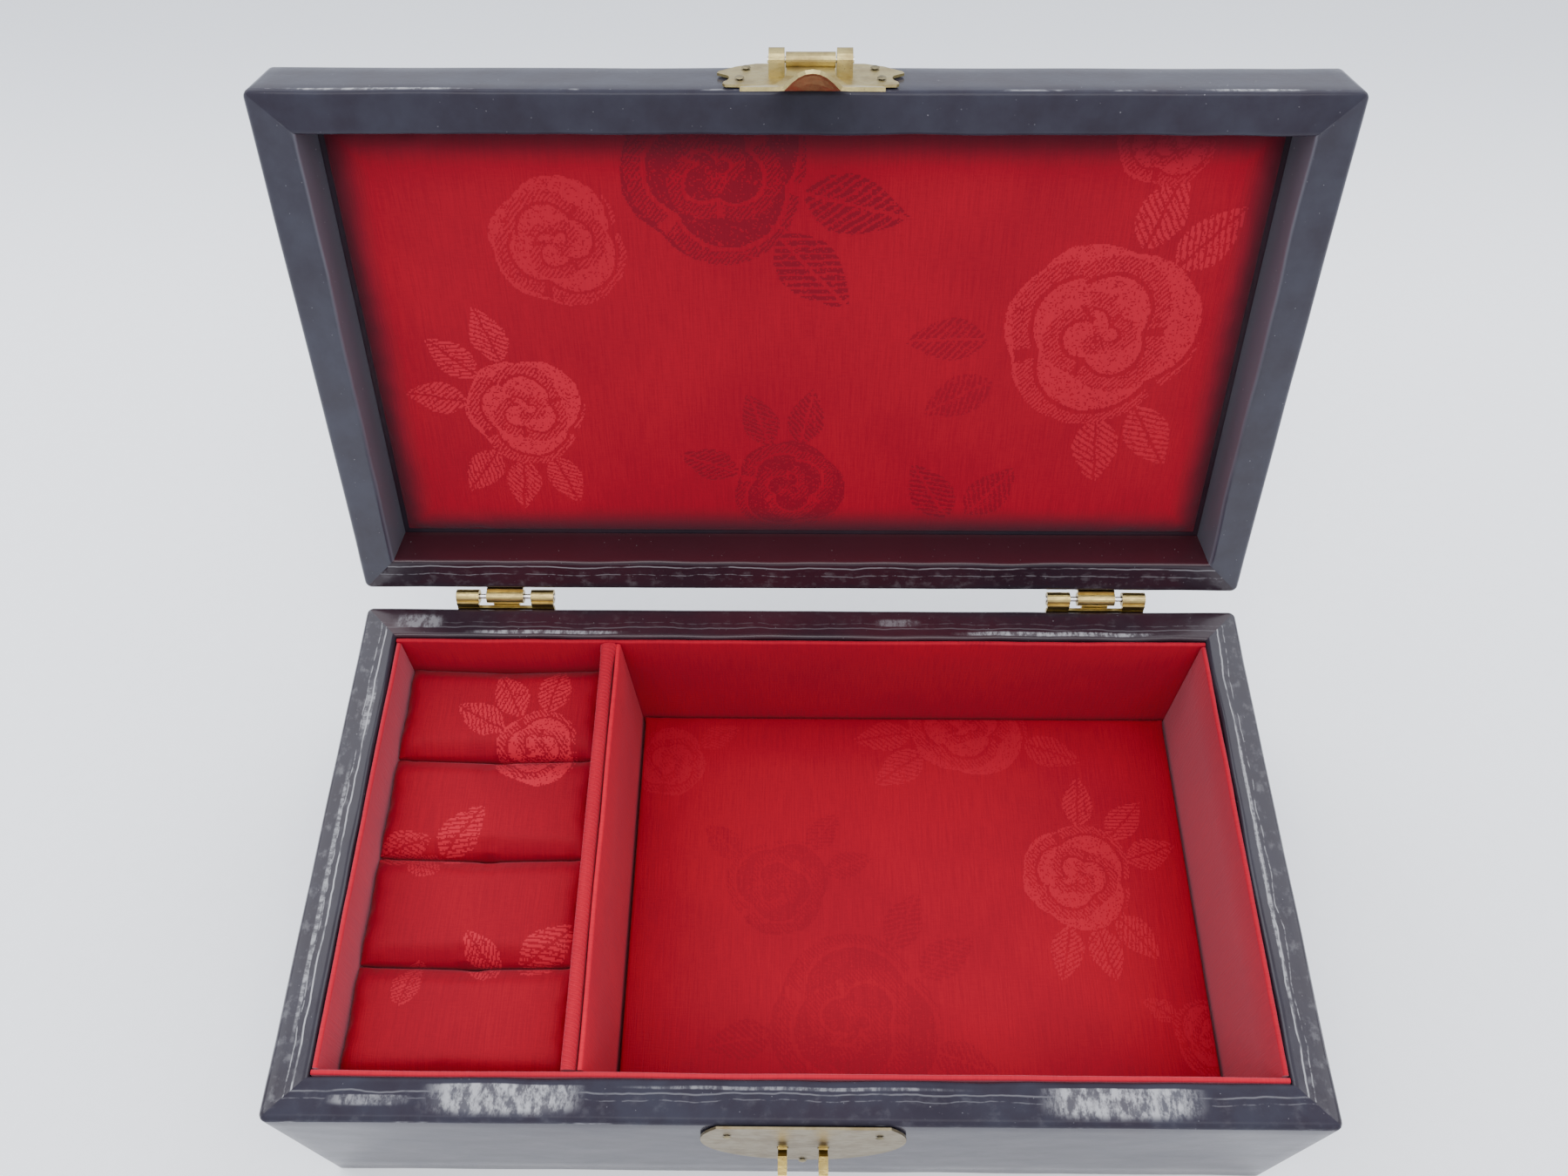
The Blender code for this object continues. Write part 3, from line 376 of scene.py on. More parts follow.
def damask(name, figure=None, bright=1.0, sheen=0.12, seed=0.0, twill=0.0, border=None):
    """Red woven fabric: fine warp threads, slubs and a soft sheen. figure is its roses and leaves, whose
    lighter and darker satin is painted sheen, bright scales its ground colours to paint light and shade on
    each piece, twill is the strength of a diagonal rib, and border the (half length, half depth, width) of
    painted shade along the edges."""
    g = Graph(name, Sheen_Weight=sheen, Sheen_Roughness=0.45, Sheen_Tint=SHEEN_TINT, IOR=1.35,
              Specular_IOR_Level=0.08)
    place = g.uv()
    along, across, _ = g.split(place)
    shift = (seed, 1.7 * seed, 0.0)
    warp = g.noise(place, 1.0, 2.0, (2600.0, 90.0, 1.0), shift, 0.6)
    weft = g.noise(place, 1.0, 2.0, (320.0, 2600.0, 1.0), shift, 0.6)
    cloud = g.noise(place, 1.0, 3.0, (24.0, 24.0, 1.0), shift)
    # bright paints light and shade: each piece's copy of the cloth is made lighter or darker.
    ground = tuple(bright * c for c in GROUND_RED[:3]) + (1.0,)
    deep = tuple(bright * c for c in DEEP_RED[:3]) + (1.0,)
    thread = g.math("ADD", g.times(warp, 0.66), g.times(weft, 0.34))
    colour = g.mix(g.ramp(thread, 0.34, 0.64, 0.30, 0.0), ground, deep)
    colour = g.mix(g.ramp(cloud, 0.35, 0.65, 0.22, 0.0), colour, deep)
    rough = g.math("MULTIPLY_ADD", thread, 0.25, 0.42)
    height = thread
    if figure:
        # The woven figure's lighter and darker satin is painted sheen, mixed into the colour.
        woven = rose_figure(g, place, *gathered(figure))
        colour = g.mix(g.math("MAXIMUM", woven, 0.0), colour, LIGHT_RED)
        colour = g.mix(g.math("MAXIMUM", g.times(woven, -1.0), 0.0), colour, DEEP_RED)
        rough = g.math("SUBTRACT", rough, g.times(g.math("ABSOLUTE", woven), 0.18))
        height = g.math("ADD", height, g.times(g.math("ABSOLUTE", woven), 0.5))
    if twill:
        ridge = g.math("SINE", g.times(g.math("ADD", along, across), 2.0 * math.pi / TWILL))
        ridge = g.ramp(ridge, -0.2, 0.9)
        colour = g.mix(g.times(ridge, twill), colour, LIGHT_RED)
        height = g.math("ADD", height, ridge)
    # Painted shade: the cloth darkens towards the pad's edges.
    if border:
        half_x, half_y, width = border
        side = g.ramp(g.math("ABSOLUTE", along), half_x - width, half_x)
        end = g.ramp(g.math("ABSOLUTE", across), half_y - width, half_y)
        colour = g.mix(g.times(g.most(side, end), 0.85), colour, SHADED_EDGE)
    normal = g.bump(height, 0.00016, 0.8)
    return g.finish(colour, rough, normal)


# ---- Metals, card, foam, floor ------------------------------------------------------------------
SHADE_SPOT_SIZE = (0.0019, 1.0, 0.0042)  # half sizes of a brown patch of painted shade on an upright plate
BROWN_PAINTED_SHADE = (0.115, 0.070, 0.030, 1.0)
GRIME = (0.14, 0.11, 0.07, 1.0)


def metal(name, clean, stained, roughness, stain, seed, grime=GRIME, spots=()):
    """Thin pressed sheet or wire: satin, slightly dented, tarnished in patches by the amount stain, and dark
    in its pits. spots are the (x, z) of brown patches of painted shade on an upright plate."""
    g = Graph(name, Metallic=1.0)
    place = g.object_place()
    shift = (seed, seed, 0.5 * seed)
    patches = g.noise(place, 170.0, 4.0, shift=shift, rough=0.6)
    dents = g.noise(place, 420.0, 3.0, shift=shift)
    pits = g.noise(place, 2600.0, 2.0, shift=shift)
    brushed = g.noise(place, 1.0, 3.0, (260.0, 2600.0, 2600.0), shift)
    colour = g.mix(g.ramp(patches, 0.40, 0.66, 0.0, stain), clean, stained)
    colour = g.mix(g.ramp(pits, 0.60, 0.74, 0.0, 0.55), colour, grime)
    # Brown painted shade at each spot, just above a staple.
    for x, z in spots:
        spot = g.add("ShaderNodeMapping", {0: g.add("ShaderNodeNewGeometry", {}), 1: (x, 0.0, z),
                                           3: SHADE_SPOT_SIZE}, vector_type="TEXTURE")
        flat = g.add("ShaderNodeVectorMath", {0: spot, 1: (1.0, 0.0, 1.0)}, operation="MULTIPLY")
        reach = g.add("ShaderNodeVectorMath", {0: flat}, 1, operation="LENGTH")
        blur = g.math("MULTIPLY_ADD", dents, 0.5, reach)
        colour = g.mix(g.ramp(blur, 0.45, 1.25, 0.75, 0.0), colour, BROWN_PAINTED_SHADE)
    rough = g.math("MULTIPLY_ADD", brushed, 0.18, roughness - 0.09)
    rough = g.math("ADD", rough, g.times(patches, 0.14))
    normal = g.bump(dents, 0.00035, 0.5)
    normal = g.bump(brushed, 0.00003, 0.5, normal)
    return g.finish(colour, rough, normal)


def matte(name, colour, other, scale, roughness):
    """Card and foam: fibrous or cellular, without gloss."""
    g = Graph(name, Specular_IOR_Level=0.25)
    place = g.object_place()
    fibres = g.noise(place, scale, 5.0, rough=0.7)
    cells = g.noise(place, 4.0 * scale, 3.0)
    shade = g.mix(g.ramp(fibres, 0.35, 0.65), colour, other)
    rough = g.math("MULTIPLY_ADD", cells, 0.2, roughness - 0.1)
    return g.finish(shade, rough, g.bump(cells, 0.0003, 0.7))


PAPER = (0.92, 0.94, 0.98, 1.0)
PAPER_CLOUDS = (0.94, 0.95, 0.99, 1.0)
PAPER_GRAIN = (0.70, 0.71, 0.74, 1.0)
SHADE_BEHIND = (0.58, 0.60, 0.64, 1.0)


def pale_floor():
    """White paper, with painted shade greying it further behind the box."""
    g = Graph("pale_paper", Specular_IOR_Level=0.2)
    place = g.object_place()
    clouds = g.noise(place, 1.3, 2.0)
    grain = g.noise(place, 240.0, 3.0)
    colour = g.mix(clouds, PAPER, PAPER_CLOUDS)
    _, back, _ = g.split(place)
    # Painted shade: the paper greys further behind the box.
    colour = g.mix(g.ramp(back, 0.22, 0.50), colour, SHADE_BEHIND)
    colour = g.mix(g.ramp(grain, 0.3, 0.7, 0.0, 0.05), colour, PAPER_GRAIN)
    return g.finish(colour, g.math("MULTIPLY_ADD", grain, 0.1, 0.6), g.bump(grain, 0.0002, 0.3))


# ---- Mesh building ------------------------------------------------------------------------------
WELD = 2e-6                       # points nearer than this become one
TOUCHING = 1e-6                   # heights and edges nearer than this count as the same
SHARP_ANGLE = 40.0                # degrees


def new_piece(name, mesh, material, body, replaced, place=None, smooth_angle=SHARP_ANGLE):
    """Links a mesh whose points are in the part's frame, or in the shut lid's frame with place to move them.
    replaced are the CAD nodes that it stands for."""
    if place is not None:
        mesh.transform(place)
        if place.determinant() < 0:
            mesh.flip_normals()
    piece = bpy.data.objects.new(name, mesh)
    bpy.context.scene.collection.objects.link(piece)
    mesh.materials.append(material)
    if smooth_angle:
        mesh.shade_smooth()
        mesh.set_sharp_from_angle(angle=math.radians(smooth_angle))
    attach(piece, body)
    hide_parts(*replaced)
    return piece


def loft(name, rows, maps):
    """A closed skin over rows of points, capped at both ends. maps gives each row's map coordinates, with
    one more than its points because the row closes on itself."""
    mesh = bpy.data.meshes.new(name)
    bm = bmesh.new()
    layer = bm.loops.layers.uv.new("cloth")
    points = [[bm.verts.new(p) for p in row] for row in rows]
    count = len(rows[0])
    for i in range(len(rows) - 1):
        for j in range(count):
            k = (j + 1) % count
            face = bm.faces.new((points[i][j], points[i][k], points[i + 1][k], points[i + 1][j]))
            corners = (maps[i][j], maps[i][j + 1], maps[i + 1][j + 1], maps[i + 1][j])
            for loop, corner in zip(face.loops, corners):
                loop[layer].uv = corner
    for i in (0, len(rows) - 1):
        face = bm.faces.new(points[i])
        for loop, corner in zip(face.loops, maps[i]):
            loop[layer].uv = corner
    bmesh.ops.remove_doubles(bm, verts=bm.verts, dist=WELD)
    bmesh.ops.dissolve_degenerate(bm, edges=bm.edges, dist=WELD)
    bmesh.ops.recalc_face_normals(bm, faces=bm.faces)
    bm.to_mesh(mesh)
    bm.free()
    return mesh


def arc(cx, cy, radius, start, end, steps):
    """Points on an arc, with start and end in degrees."""
    angles = [math.radians(start + (end - start) * i / steps) for i in range(steps + 1)]
    return [(cx + radius * math.cos(a), cy + radius * math.sin(a)) for a in angles]


def spaced(start, end, step):
    """Even numbers from start to end, about a step apart."""
    count = max(1, round((end - start) / step))
    return [start + (end - start) * i / count for i in range(count + 1)]


def wobble(amount, *where):
    """Smooth unevenness, the same each run."""
    return amount * noise.noise(Vector(where))


# ---- Wooden walls -------------------------------------------------------------------------------
PLAN_ROUNDING = 0.0020            # radius of the box's upright corners
CORNER_TURNS = (15, 30, 45)       # degrees, to the mitre
WALL_STEP = 0.003
SKIN = 0.0012                     # how near a face a point counts as lying on it
CALM_END = 0.004                  # a wall is even this near its ends,
CALM_GROWTH = 0.012               # and its unevenness grows over this length
SEED_STEP = 3.1                   # gives each wall an unevenness of its own


def base_section():
    """(in from the outer face, height) round a base wall, with the bottom panel's rabbet."""
    top = BASE_HEIGHT
    low = BOTTOM_PANEL_TOP
    points = [(RABBET, 0.0)] + arc(0.001, 0.001, 0.001, 270, 180, 3)
    points += [(0.0, z) for z in (0.012, 0.024, 0.036, 0.048, 0.057)]
    points += arc(0.0017, top - 0.0017, 0.0017, 180, 90, 6)
    points += [(d, top) for d in (0.0030, 0.0045, 0.0060, 0.0075, 0.0086)]
    points += arc(WALL - 0.0010, top - 0.0010, 0.0010, 90, 0, 4)
    points += [(WALL, 0.045), (WALL, low), (RABBET, low)]
    return points


def lid_section():
    """The same for the shut lid: its rim is underneath and the rabbet above."""
    low = MATING_Z
    top = MATING_Z + LID_HEIGHT
    points = [(RABBET, top)] + arc(0.0019, top - 0.0019, 0.0019, 90, 180, 6)
    points += [(0.0, z) for z in (0.0775, 0.0735, 0.0695)]
    points += arc(0.0013, low + 0.0013, 0.0013, 180, 270, 5)
    points += [(d, low) for d in (0.0028, 0.0045, 0.0060, 0.0075, 0.0086)]
    points += arc(WALL - 0.0010, low + 0.0010, 0.0010, 270, 360, 4)
    points += [(WALL, 0.0715), (WALL, LID_PANEL_Z), (RABBET, LID_PANEL_Z)]
    return points


def section_maps(section, rim_z):
    """Distance round the section from the rim's inner edge, growing outwards."""
    lengths = [0.0]
    closed = section + section[:1]
    for a, b in zip(closed, closed[1:]):
        lengths.append(lengths[-1] + math.dist(a, b))
    inner = max(range(len(section)),
                key=lambda i: (abs(section[i][1] - rim_z) < TOUCHING, section[i][0]))
    return [lengths[inner] - length for length in lengths]


def wall_mesh(name, section, half_run, half_across, side, rim_z, seed):
    """One mitred wall, on the side of the box that side names. Its ends run round half of each rounded
    corner, and its faces and rim are slightly uneven away from the corners."""
    maps = section_maps(section, rim_z)
    straight = half_run - PLAN_ROUNDING
    first = [(-straight, math.radians(phi)) for phi in reversed(CORNER_TURNS)]
    last = [(straight, math.radians(phi)) for phi in CORNER_TURNS]
    stations = first + [(a, 0.0) for a in spaced(-straight, straight, WALL_STEP)] + last
    rows = []
    row_maps = []
    for a, phi in stations:
        row = []
        calm = min(max((half_run - CALM_END - abs(a)) / CALM_GROWTH, 0.0), 1.0)
        for d, z in section:
            if phi:
                if d < PLAN_ROUNDING:
                    reach = PLAN_ROUNDING - d
                    run = straight + reach * math.sin(phi)
                    inward = PLAN_ROUNDING - reach * math.cos(phi)
                else:
                    run, inward = half_run - d, d
            else:
                run, inward = min(abs(a), half_run - d), d
            rim = abs(z - rim_z) < SKIN
            if d < SKIN:
                inward += calm * (0.00010 + wobble(0.00016, a * 40, z * 70, seed))
            if rim and d > 0.007:
                inward += calm * wobble(0.00045, a * 60, 2.0, seed)
            if rim:
                dip = 0.00004 + abs(wobble(0.00016, a * 50, d * 130, seed + 5))
                z += calm * (dip if rim_z > BASE_HEIGHT else -dip)
            run = math.copysign(run, a)
            if side in ("front", "back"):
                y = half_across - inward
                row.append((run, -y if side == "front" else y, z))
            else:
                x = half_across - inward
                row.append((-x if side == "left" else x, run, z))
        rows.append(row)
        row_maps.append([(a + math.copysign(PLAN_ROUNDING * phi, a), v) for v in maps])
    return loft(name, rows, row_maps)


def make_walls():
    # On the rims the pale patches and lines are partly wear and partly painted highlight; the inner colours
    # are painted reflections.
    base_looks = {
        "front": lacquer("lacquer_base_front", gloss=0.05, line=0.25, dust_and_reflection=0.9, red=0.25, seed=1.0, scuffs_and_glints=(
            (-0.091, -0.046, 0.0004, 0.0088, 1.0), (0.052, 0.098, 0.0004, 0.0088, 1.0),
            (-0.112, -0.088, 0.0030, 0.0060, 0.5), (-0.050, 0.048, 0.0006, 0.0016, 0.5))),
        "back": lacquer("lacquer_base_back", line=0.15, dust_and_reflection=0.2, red=1.0, seed=2.0, scuffs_and_glints=(
            (-0.100, -0.045, 0.0001, 0.0016, 0.8), (0.038, 0.108, 0.0001, 0.0018, 0.9),
            (-0.118, -0.100, 0.0020, 0.0075, 0.45), (0.020, 0.036, 0.0030, 0.0060, 0.3))),
        "left": lacquer("lacquer_base_left", line=1.0, dust_and_reflection=0.5, red=0.05, seed=3.0, scuffs_and_glints=(
            (-0.062, 0.030, 0.0038, 0.0052, 0.8), (0.025, 0.048, 0.0014, 0.0042, 0.7))),
        "right": lacquer("lacquer_base_right", line=0.8, dust_and_reflection=0.5, red=0.05, seed=4.0, scuffs_and_glints=(
            (-0.060, 0.050, 0.0018, 0.0030, 0.8),)),
    }
    lid_looks = {
        "front": lacquer("lacquer_lid_front", gloss=0.11, dust_and_reflection=0.9, red=0.15, edge=0.5, seed=5.0, scuffs_and_glints=(
            (-0.121, -0.070, 0.0093, 0.0108, 0.9), (0.086, 0.114, 0.0093, 0.0108, 0.9))),
        "back": lacquer("lacquer_lid_back", line=0.5, line_reach=0.0010, dust_and_reflection=0.2, red=0.8, seed=6.0,
                        inner=(0.6, MAROON_PAINTED_REFLECTION)),
        "left": lacquer("lacquer_lid_left", dust_and_reflection=1.0, red=0.05, seed=7.0, inner=(0.85, SLATE_PAINTED_REFLECTION)),
        "right": lacquer("lacquer_lid_right", dust_and_reflection=0.95, red=0.15, seed=8.0, inner=(0.85, SLATE_PAINTED_REFLECTION)),
    }
    for body, looks, section, rim_z, place in (
            ("base", base_looks, base_section(), BASE_HEIGHT, None),
            ("lid", lid_looks, lid_section(), MATING_Z, TO_OPEN_LID)):
        for number, side in enumerate(("front", "back", "left", "right")):
            long_side = side in ("front", "back")
            run, across = (HALF_LENGTH, HALF_DEPTH) if long_side else (HALF_DEPTH, HALF_LENGTH)
            name = f"{body}_{side}_wall"
            seed = SEED_STEP * number + len(body)
            mesh = wall_mesh(name, section, run, across, side, rim_z, seed)
            new_piece(f"{name}_lacquered", mesh, looks[side], body, (name,), place)


# ---- Covered card: liners and divider -----------------------------------------------------------
STRIP_STEP = 0.0025


def covered_strip(name, start, end, place, low, high, thickness, seed):
    """A strip of covered card, rounded along its top. place(run, offset, height) gives a point."""
    r = 0.48 * thickness
    half = thickness / 2
    section = [(-half, low), (-half, 0.65 * low + 0.35 * high), (-half, 0.3 * low + 0.7 * high)]
    section += arc(-half + r, high - r, r, 180, 90, 3) + arc(half - r, high - r, r, 90, 0, 3)
    section += [(half, 0.3 * low + 0.7 * high), (half, 0.65 * low + 0.35 * high), (half, low)]
    rows = []
    maps = []
    for run in spaced(start, end, STRIP_STEP):
        row = []
        lift = wobble(0.00030, run * 70, seed, 1.0) + wobble(0.00012, run * 300, seed, 2.0)
        bow = wobble(0.00022, run * 30, seed, 3.0)
        for t, z in section:
            share = (z - low) / (high - low)
            row.append(place(run, t + bow * share, z + (lift - 0.00010) * max(0.0, share - 0.6) / 0.4))
        rows.append(row)
        maps.append([(run, z + (2 * (high - z) if t > 0 else 0.0)) for t, z in section] + [(run, low)])
    return loft(name, rows, maps)


def make_liners():
    middle_x = LINER_X - LINER / 2
    middle_y = LINER_Y - LINER / 2
    # The bright values paint light and shade, a lighter or darker copy of the cloth for each piece.
    plain = damask("damask_liner_plain", None, bright=1.45, sheen=0.40, seed=3.0)
    back = damask("damask_liner_back", LINER_FIGURE, bright=1.15, sheen=0.06, seed=4.0)
    side = damask("damask_liner_side", SIDE_FIGURE, bright=1.25, sheen=0.31, seed=5.0)
    strips = (
        ("liner_front_wall", LINER_X, lambda a, t, z: (a, -middle_y + t, z), plain, 1.0),
        ("liner_back_wall", LINER_X, lambda a, t, z: (a, middle_y - t, z), back, 2.0),
        ("liner_left_wall", SHORT_STRIP_Y, lambda a, t, z: (-middle_x + t, a, z), plain, 3.0),
        ("liner_right_wall", SHORT_STRIP_Y, lambda a, t, z: (middle_x - t, a, z), side, 4.0),
    )
    for name, half, place, look, seed in strips:
        mesh = covered_strip(name, -half, half, place, LINER_FOOT, LINER_TOP, LINER, seed)
        new_piece(f"{name}_covered", mesh, look, "base", (name,))

    strip_x = (DIVIDER_LEFT + DIVIDER_RIGHT) / 2

    def flaring(run, offset, z):
        """The strip's cover gathers into a wider tuft where it ends over the back."""
        spread = max(0.0, (run - 0.0500) / 0.0080) ** 1.5 * max(0.0, (z - 0.050) / 0.014)
        return (strip_x + offset * (1.0 + 0.40 * spread) + 0.0004 * spread, run, z + 0.0002 * spread)

    mesh = covered_strip("divider", -SHORT_STRIP_Y, SHORT_STRIP_Y, flaring, LINER_FOOT, DIVIDER_TOP,
                         DIVIDER_RIGHT - DIVIDER_LEFT, 5.0)
    look = damask("damask_divider", None, bright=1.35, sheen=0.12, seed=6.0, twill=0.25)
    new_piece("divider_covered", mesh, look, "base", ("divider",))

    def leaning(run, offset, z):
        """The card's foot stands further from the divider than its top."""
        share = (LINER_TOP - z) / (LINER_TOP - LINER_FOOT)
        return (CARD_TOP_X + (CARD_FOOT_X - CARD_TOP_X) * share + offset, run, z)

    mesh = covered_strip("divider_liner", -SHORT_STRIP_Y, SHORT_STRIP_Y, leaning, LINER_FOOT, LINER_TOP,
                         LINER, 6.0)
    look = damask("damask_leaning_card", SIDE_FIGURE, bright=1.6, sheen=0.08, seed=6.5)
    new_piece("divider_liner_covered", mesh, look, "base", ("divider_liner",))


# ---- Padded pieces ------------------------------------------------------------------------------
SIM_SCALE = 10.0                  # the cloth is simulated at this many times its size
SIM_FRAMES = 20
SIM_QUALITY = 6
SIM_STIFFNESS = 22.0
SIM_BENDING = 0.6
SIM_SLACK = -0.02                 # a negative shrink gives the cover a little spare cloth
PINNED_SHARE = 0.12               # the lowest part of a pad, which stays on its base
PAD_RIM = 0.0007                  # the last row of quads, which keeps a cover's edge tight
SHOULDER_CURVE = 2.4
SHOULDER_LIMIT = 1.15             # caps the fall at a corner, where two edges meet


def pad_mesh(name, low, high, step, shoulder, drop, tuck):
    """A closed box of even quads. Its upper edges fall away by drop over the shoulder widths along X and
    Y, and are drawn in by tuck. Its map is the plan, running on down the sides."""
    xs = [low[0]] + spaced(low[0] + PAD_RIM, high[0] - PAD_RIM, step) + [high[0]]
    ys = [low[1]] + spaced(low[1] + PAD_RIM, high[1] - PAD_RIM, step) + [high[1]]
    down = spaced(0.0, high[2] - low[2], min(step, (high[2] - low[2]) / 2))
    bm = bmesh.new()
    layer = bm.loops.layers.uv.new("cloth")
    grid = {}

    def vertex(i, j, k):
        if (i, j, k) not in grid:
            grid[i, j, k] = bm.verts.new((xs[i], ys[j], high[2] - down[k]))
        return grid[i, j, k]

    nx, ny, nz = len(xs) - 1, len(ys) - 1, len(down) - 1

    def quad(keys, maps):
        face = bm.faces.new([vertex(*key) for key in keys])
        for loop, uv in zip(face.loops, maps):
            loop[layer].uv = uv

    for i in range(nx):
        for j in range(ny):
            for k in (0, nz):
                keys = ((i, j, k), (i + 1, j, k), (i + 1, j + 1, k), (i, j + 1, k))
                quad(keys, [(xs[a], ys[b]) for a, b, _ in keys])
    for k in range(nz):
        for i in range(nx):
            for j, sign in ((0, -1), (ny, 1)):
                keys = ((i, j, k), (i + 1, j, k), (i + 1, j, k + 1), (i, j, k + 1))
                quad(keys, [(xs[a], ys[j] + sign * down[c]) for a, _, c in keys])
        for j in range(ny):
            for i, sign in ((0, -1), (nx, 1)):
                keys = ((i, j, k), (i, j + 1, k), (i, j + 1, k + 1), (i, j, k + 1))
                quad(keys, [(xs[i] + sign * down[c], ys[b]) for _, b, c in keys])
    centre = [(a + b) / 2 for a, b in zip(low, high)]
    for v in bm.verts:
        edge_x = min(v.co.x - low[0], high[0] - v.co.x)
        edge_y = min(v.co.y - low[1], high[1] - v.co.y)
        near = (max(0.0, 1.0 - edge_x / shoulder[0]) ** SHOULDER_CURVE
                + max(0.0, 1.0 - edge_y / shoulder[1]) ** SHOULDER_CURVE)
        share = (v.co.z - low[2]) / (high[2] - low[2])
        v.co.z -= share * drop * min(near, SHOULDER_LIMIT)
        pull = tuck * share
        v.co.x += math.copysign(pull, centre[0] - v.co.x) if edge_x < TOUCHING else 0.0
        v.co.y += math.copysign(pull, centre[1] - v.co.y) if edge_y < TOUCHING else 0.0
    bmesh.ops.recalc_face_normals(bm, faces=bm.faces)
    mesh = bpy.data.meshes.new(name)
    bm.to_mesh(mesh)
    bm.free()
    return mesh


def inflate(mesh, low, high, pressure, cap):
    """Cloth simulation of the cover over its filling, with its foot pinned. No point moves more than the
    cap or leaves the pad's own space."""
    scene = bpy.context.scene
    start = [v.co.copy() for v in mesh.vertices]
    work = mesh.copy()
    work.transform(Matrix.Scale(SIM_SCALE, 4))
    holder = bpy.data.objects.new("cloth_work", work)
    scene.collection.objects.link(holder)
    foot = low[2] + PINNED_SHARE * (high[2] - low[2])
    group = holder.vertex_groups.new(name="pinned")
    group.add([i for i, co in enumerate(start) if co.z <= foot], 1.0, "REPLACE")
    cloth = holder.modifiers.new("cloth", "CLOTH")
    settings = cloth.settings
    settings.quality = SIM_QUALITY
    settings.use_pressure = True
    settings.uniform_pressure_force = pressure
    settings.effector_weights.gravity = 0.0
    settings.vertex_group_mass = "pinned"
    settings.bending_stiffness = SIM_BENDING
    settings.tension_stiffness = SIM_STIFFNESS
    settings.compression_stiffness = SIM_STIFFNESS
    settings.shrink_min = SIM_SLACK
    for number in range(1, SIM_FRAMES + 1):
        scene.frame_set(number)
    graph = bpy.context.evaluated_depsgraph_get()
    result = holder.evaluated_get(graph).to_mesh()
    for vertex, before, after in zip(mesh.vertices, start, result.vertices):
        move = after.co / SIM_SCALE - before
        if move.length > cap:
            move *= cap / move.length
        spot = before + move
        vertex.co = [min(max(c, a), b) for c, a, b in zip(spot, low, high)]
    holder.evaluated_get(graph).to_mesh_clear()
    bpy.data.objects.remove(holder, do_unlink=True)
    scene.frame_set(1)


def pad(name, low, high, look, body, replaced, step, shoulder, drop, tuck, pressure, cap, place=None):
    """One cushion between the corners low and high. pad_mesh and inflate say what the sizes do."""
    mesh = pad_mesh(name, low, high, step, shoulder, drop, tuck)
    inflate(mesh, low, high, pressure, cap)
    piece = new_piece(name + "_padded", mesh, look, body, replaced, place, 0)
    mesh.shade_smooth()
    smooth = piece.modifiers.new("smooth", "SUBSURF")
    smooth.levels = 2
    smooth.render_levels = 2


def make_pads():
    # The bright values paint light and shade, a lighter or darker copy of the cloth for each piece.
    floor_look = damask("damask_floor", FLOOR_FIGURE, bright=1.0, sheen=0.04, seed=7.0)
    roll_look = damask("damask_rolls", ROLL_FIGURE, bright=0.85, sheen=0.08, seed=8.0)
    lid_look = damask("damask_lid", LID_FIGURE, bright=0.95, sheen=0.10, seed=9.0,
                      border=(LID_PAD_X, LID_PAD_Y, LID_PAD_BORDER))
    low = (*FLOOR_PAD_PLAN[0], LINER_FOOT)
    high = (*FLOOR_PAD_PLAN[1], FLOOR_Z)
    pad("floor_pad", low, high, floor_look, "base", ("floor_pad",), step=0.0030,
        shoulder=(0.0030, 0.0030), drop=0.0005, tuck=0.0, pressure=3.0, cap=0.0008)
    pitch = 2 * ROLLS_HALF_Y / ROLL_COUNT
    for i in range(ROLL_COUNT):
        y = ROLLS_HALF_Y - pitch * (i + 0.5)
        name = f"ring_roll_{i + 1}"
        low = (ROLL_LEFT, y - pitch / 2 + ROLL_GAP, ROLL_TOP - ROLL_HEIGHT)
        high = (ROLL_RIGHT, y + pitch / 2 - ROLL_GAP, ROLL_TOP)
        pad(name, low, high, roll_look, "base", (name,), step=0.0020, shoulder=(0.0020, 0.0075),
            drop=0.0030, tuck=0.0003, pressure=4.0, cap=0.0012)
    # The lid's pad is wadding on its board, covered together; its edges roll down to the panel.
    low = (-LID_PAD_X, -LID_PAD_Y, 0.0)
    high = (LID_PAD_X, LID_PAD_Y, LID_PAD_HEIGHT)
    face_down = Matrix.Translation((0.0, 0.0, LID_PANEL_Z)) @ Matrix.Scale(-1, 4, (0, 0, 1))
    pad("lid_lining", low, high, lid_look, "lid", ("lid_lining_pad", "lid_lining_board"), step=0.0030,
        shoulder=(0.0090, 0.0080), drop=0.0024, tuck=0.0006, pressure=2.0, cap=0.0005,
        place=TO_OPEN_LID @ face_down)


# ---- Metalwork ----------------------------------------------------------------------------------
WARM_BRASS = (0.56, 0.42, 0.13, 1.0)
HINGE_BRASS = (0.50, 0.38, 0.14, 1.0)
LATCH_BRASS = (0.45, 0.370, 0.165, 1.0)
TARNISH = (0.27, 0.20, 0.09, 1.0)
CATCH_BRASS = (0.23, 0.19, 0.115, 1.0)
CATCH_TARNISH = (0.15, 0.11, 0.055, 1.0)
NAIL_BRASS = (0.26, 0.22, 0.13, 1.0)
NAIL_TARNISH = (0.10, 0.09, 0.06, 1.0)
STEEL = (0.78, 0.78, 0.80, 1.0)
STEEL_DULLED = (0.46, 0.45, 0.44, 1.0)
STEEL_GRIME = (0.20, 0.19, 0.18, 1.0)
CARD_GREY = (0.32, 0.29, 0.25, 1.0)
CARD_DARK = (0.22, 0.20, 0.17, 1.0)
FOAM_PALE = (0.72, 0.66, 0.50, 1.0)
FOAM_DARK = (0.55, 0.49, 0.36, 1.0)

EASED_PLATES = ("catch_plate", "latch_plate")
EASED_WIDTH = 0.00022


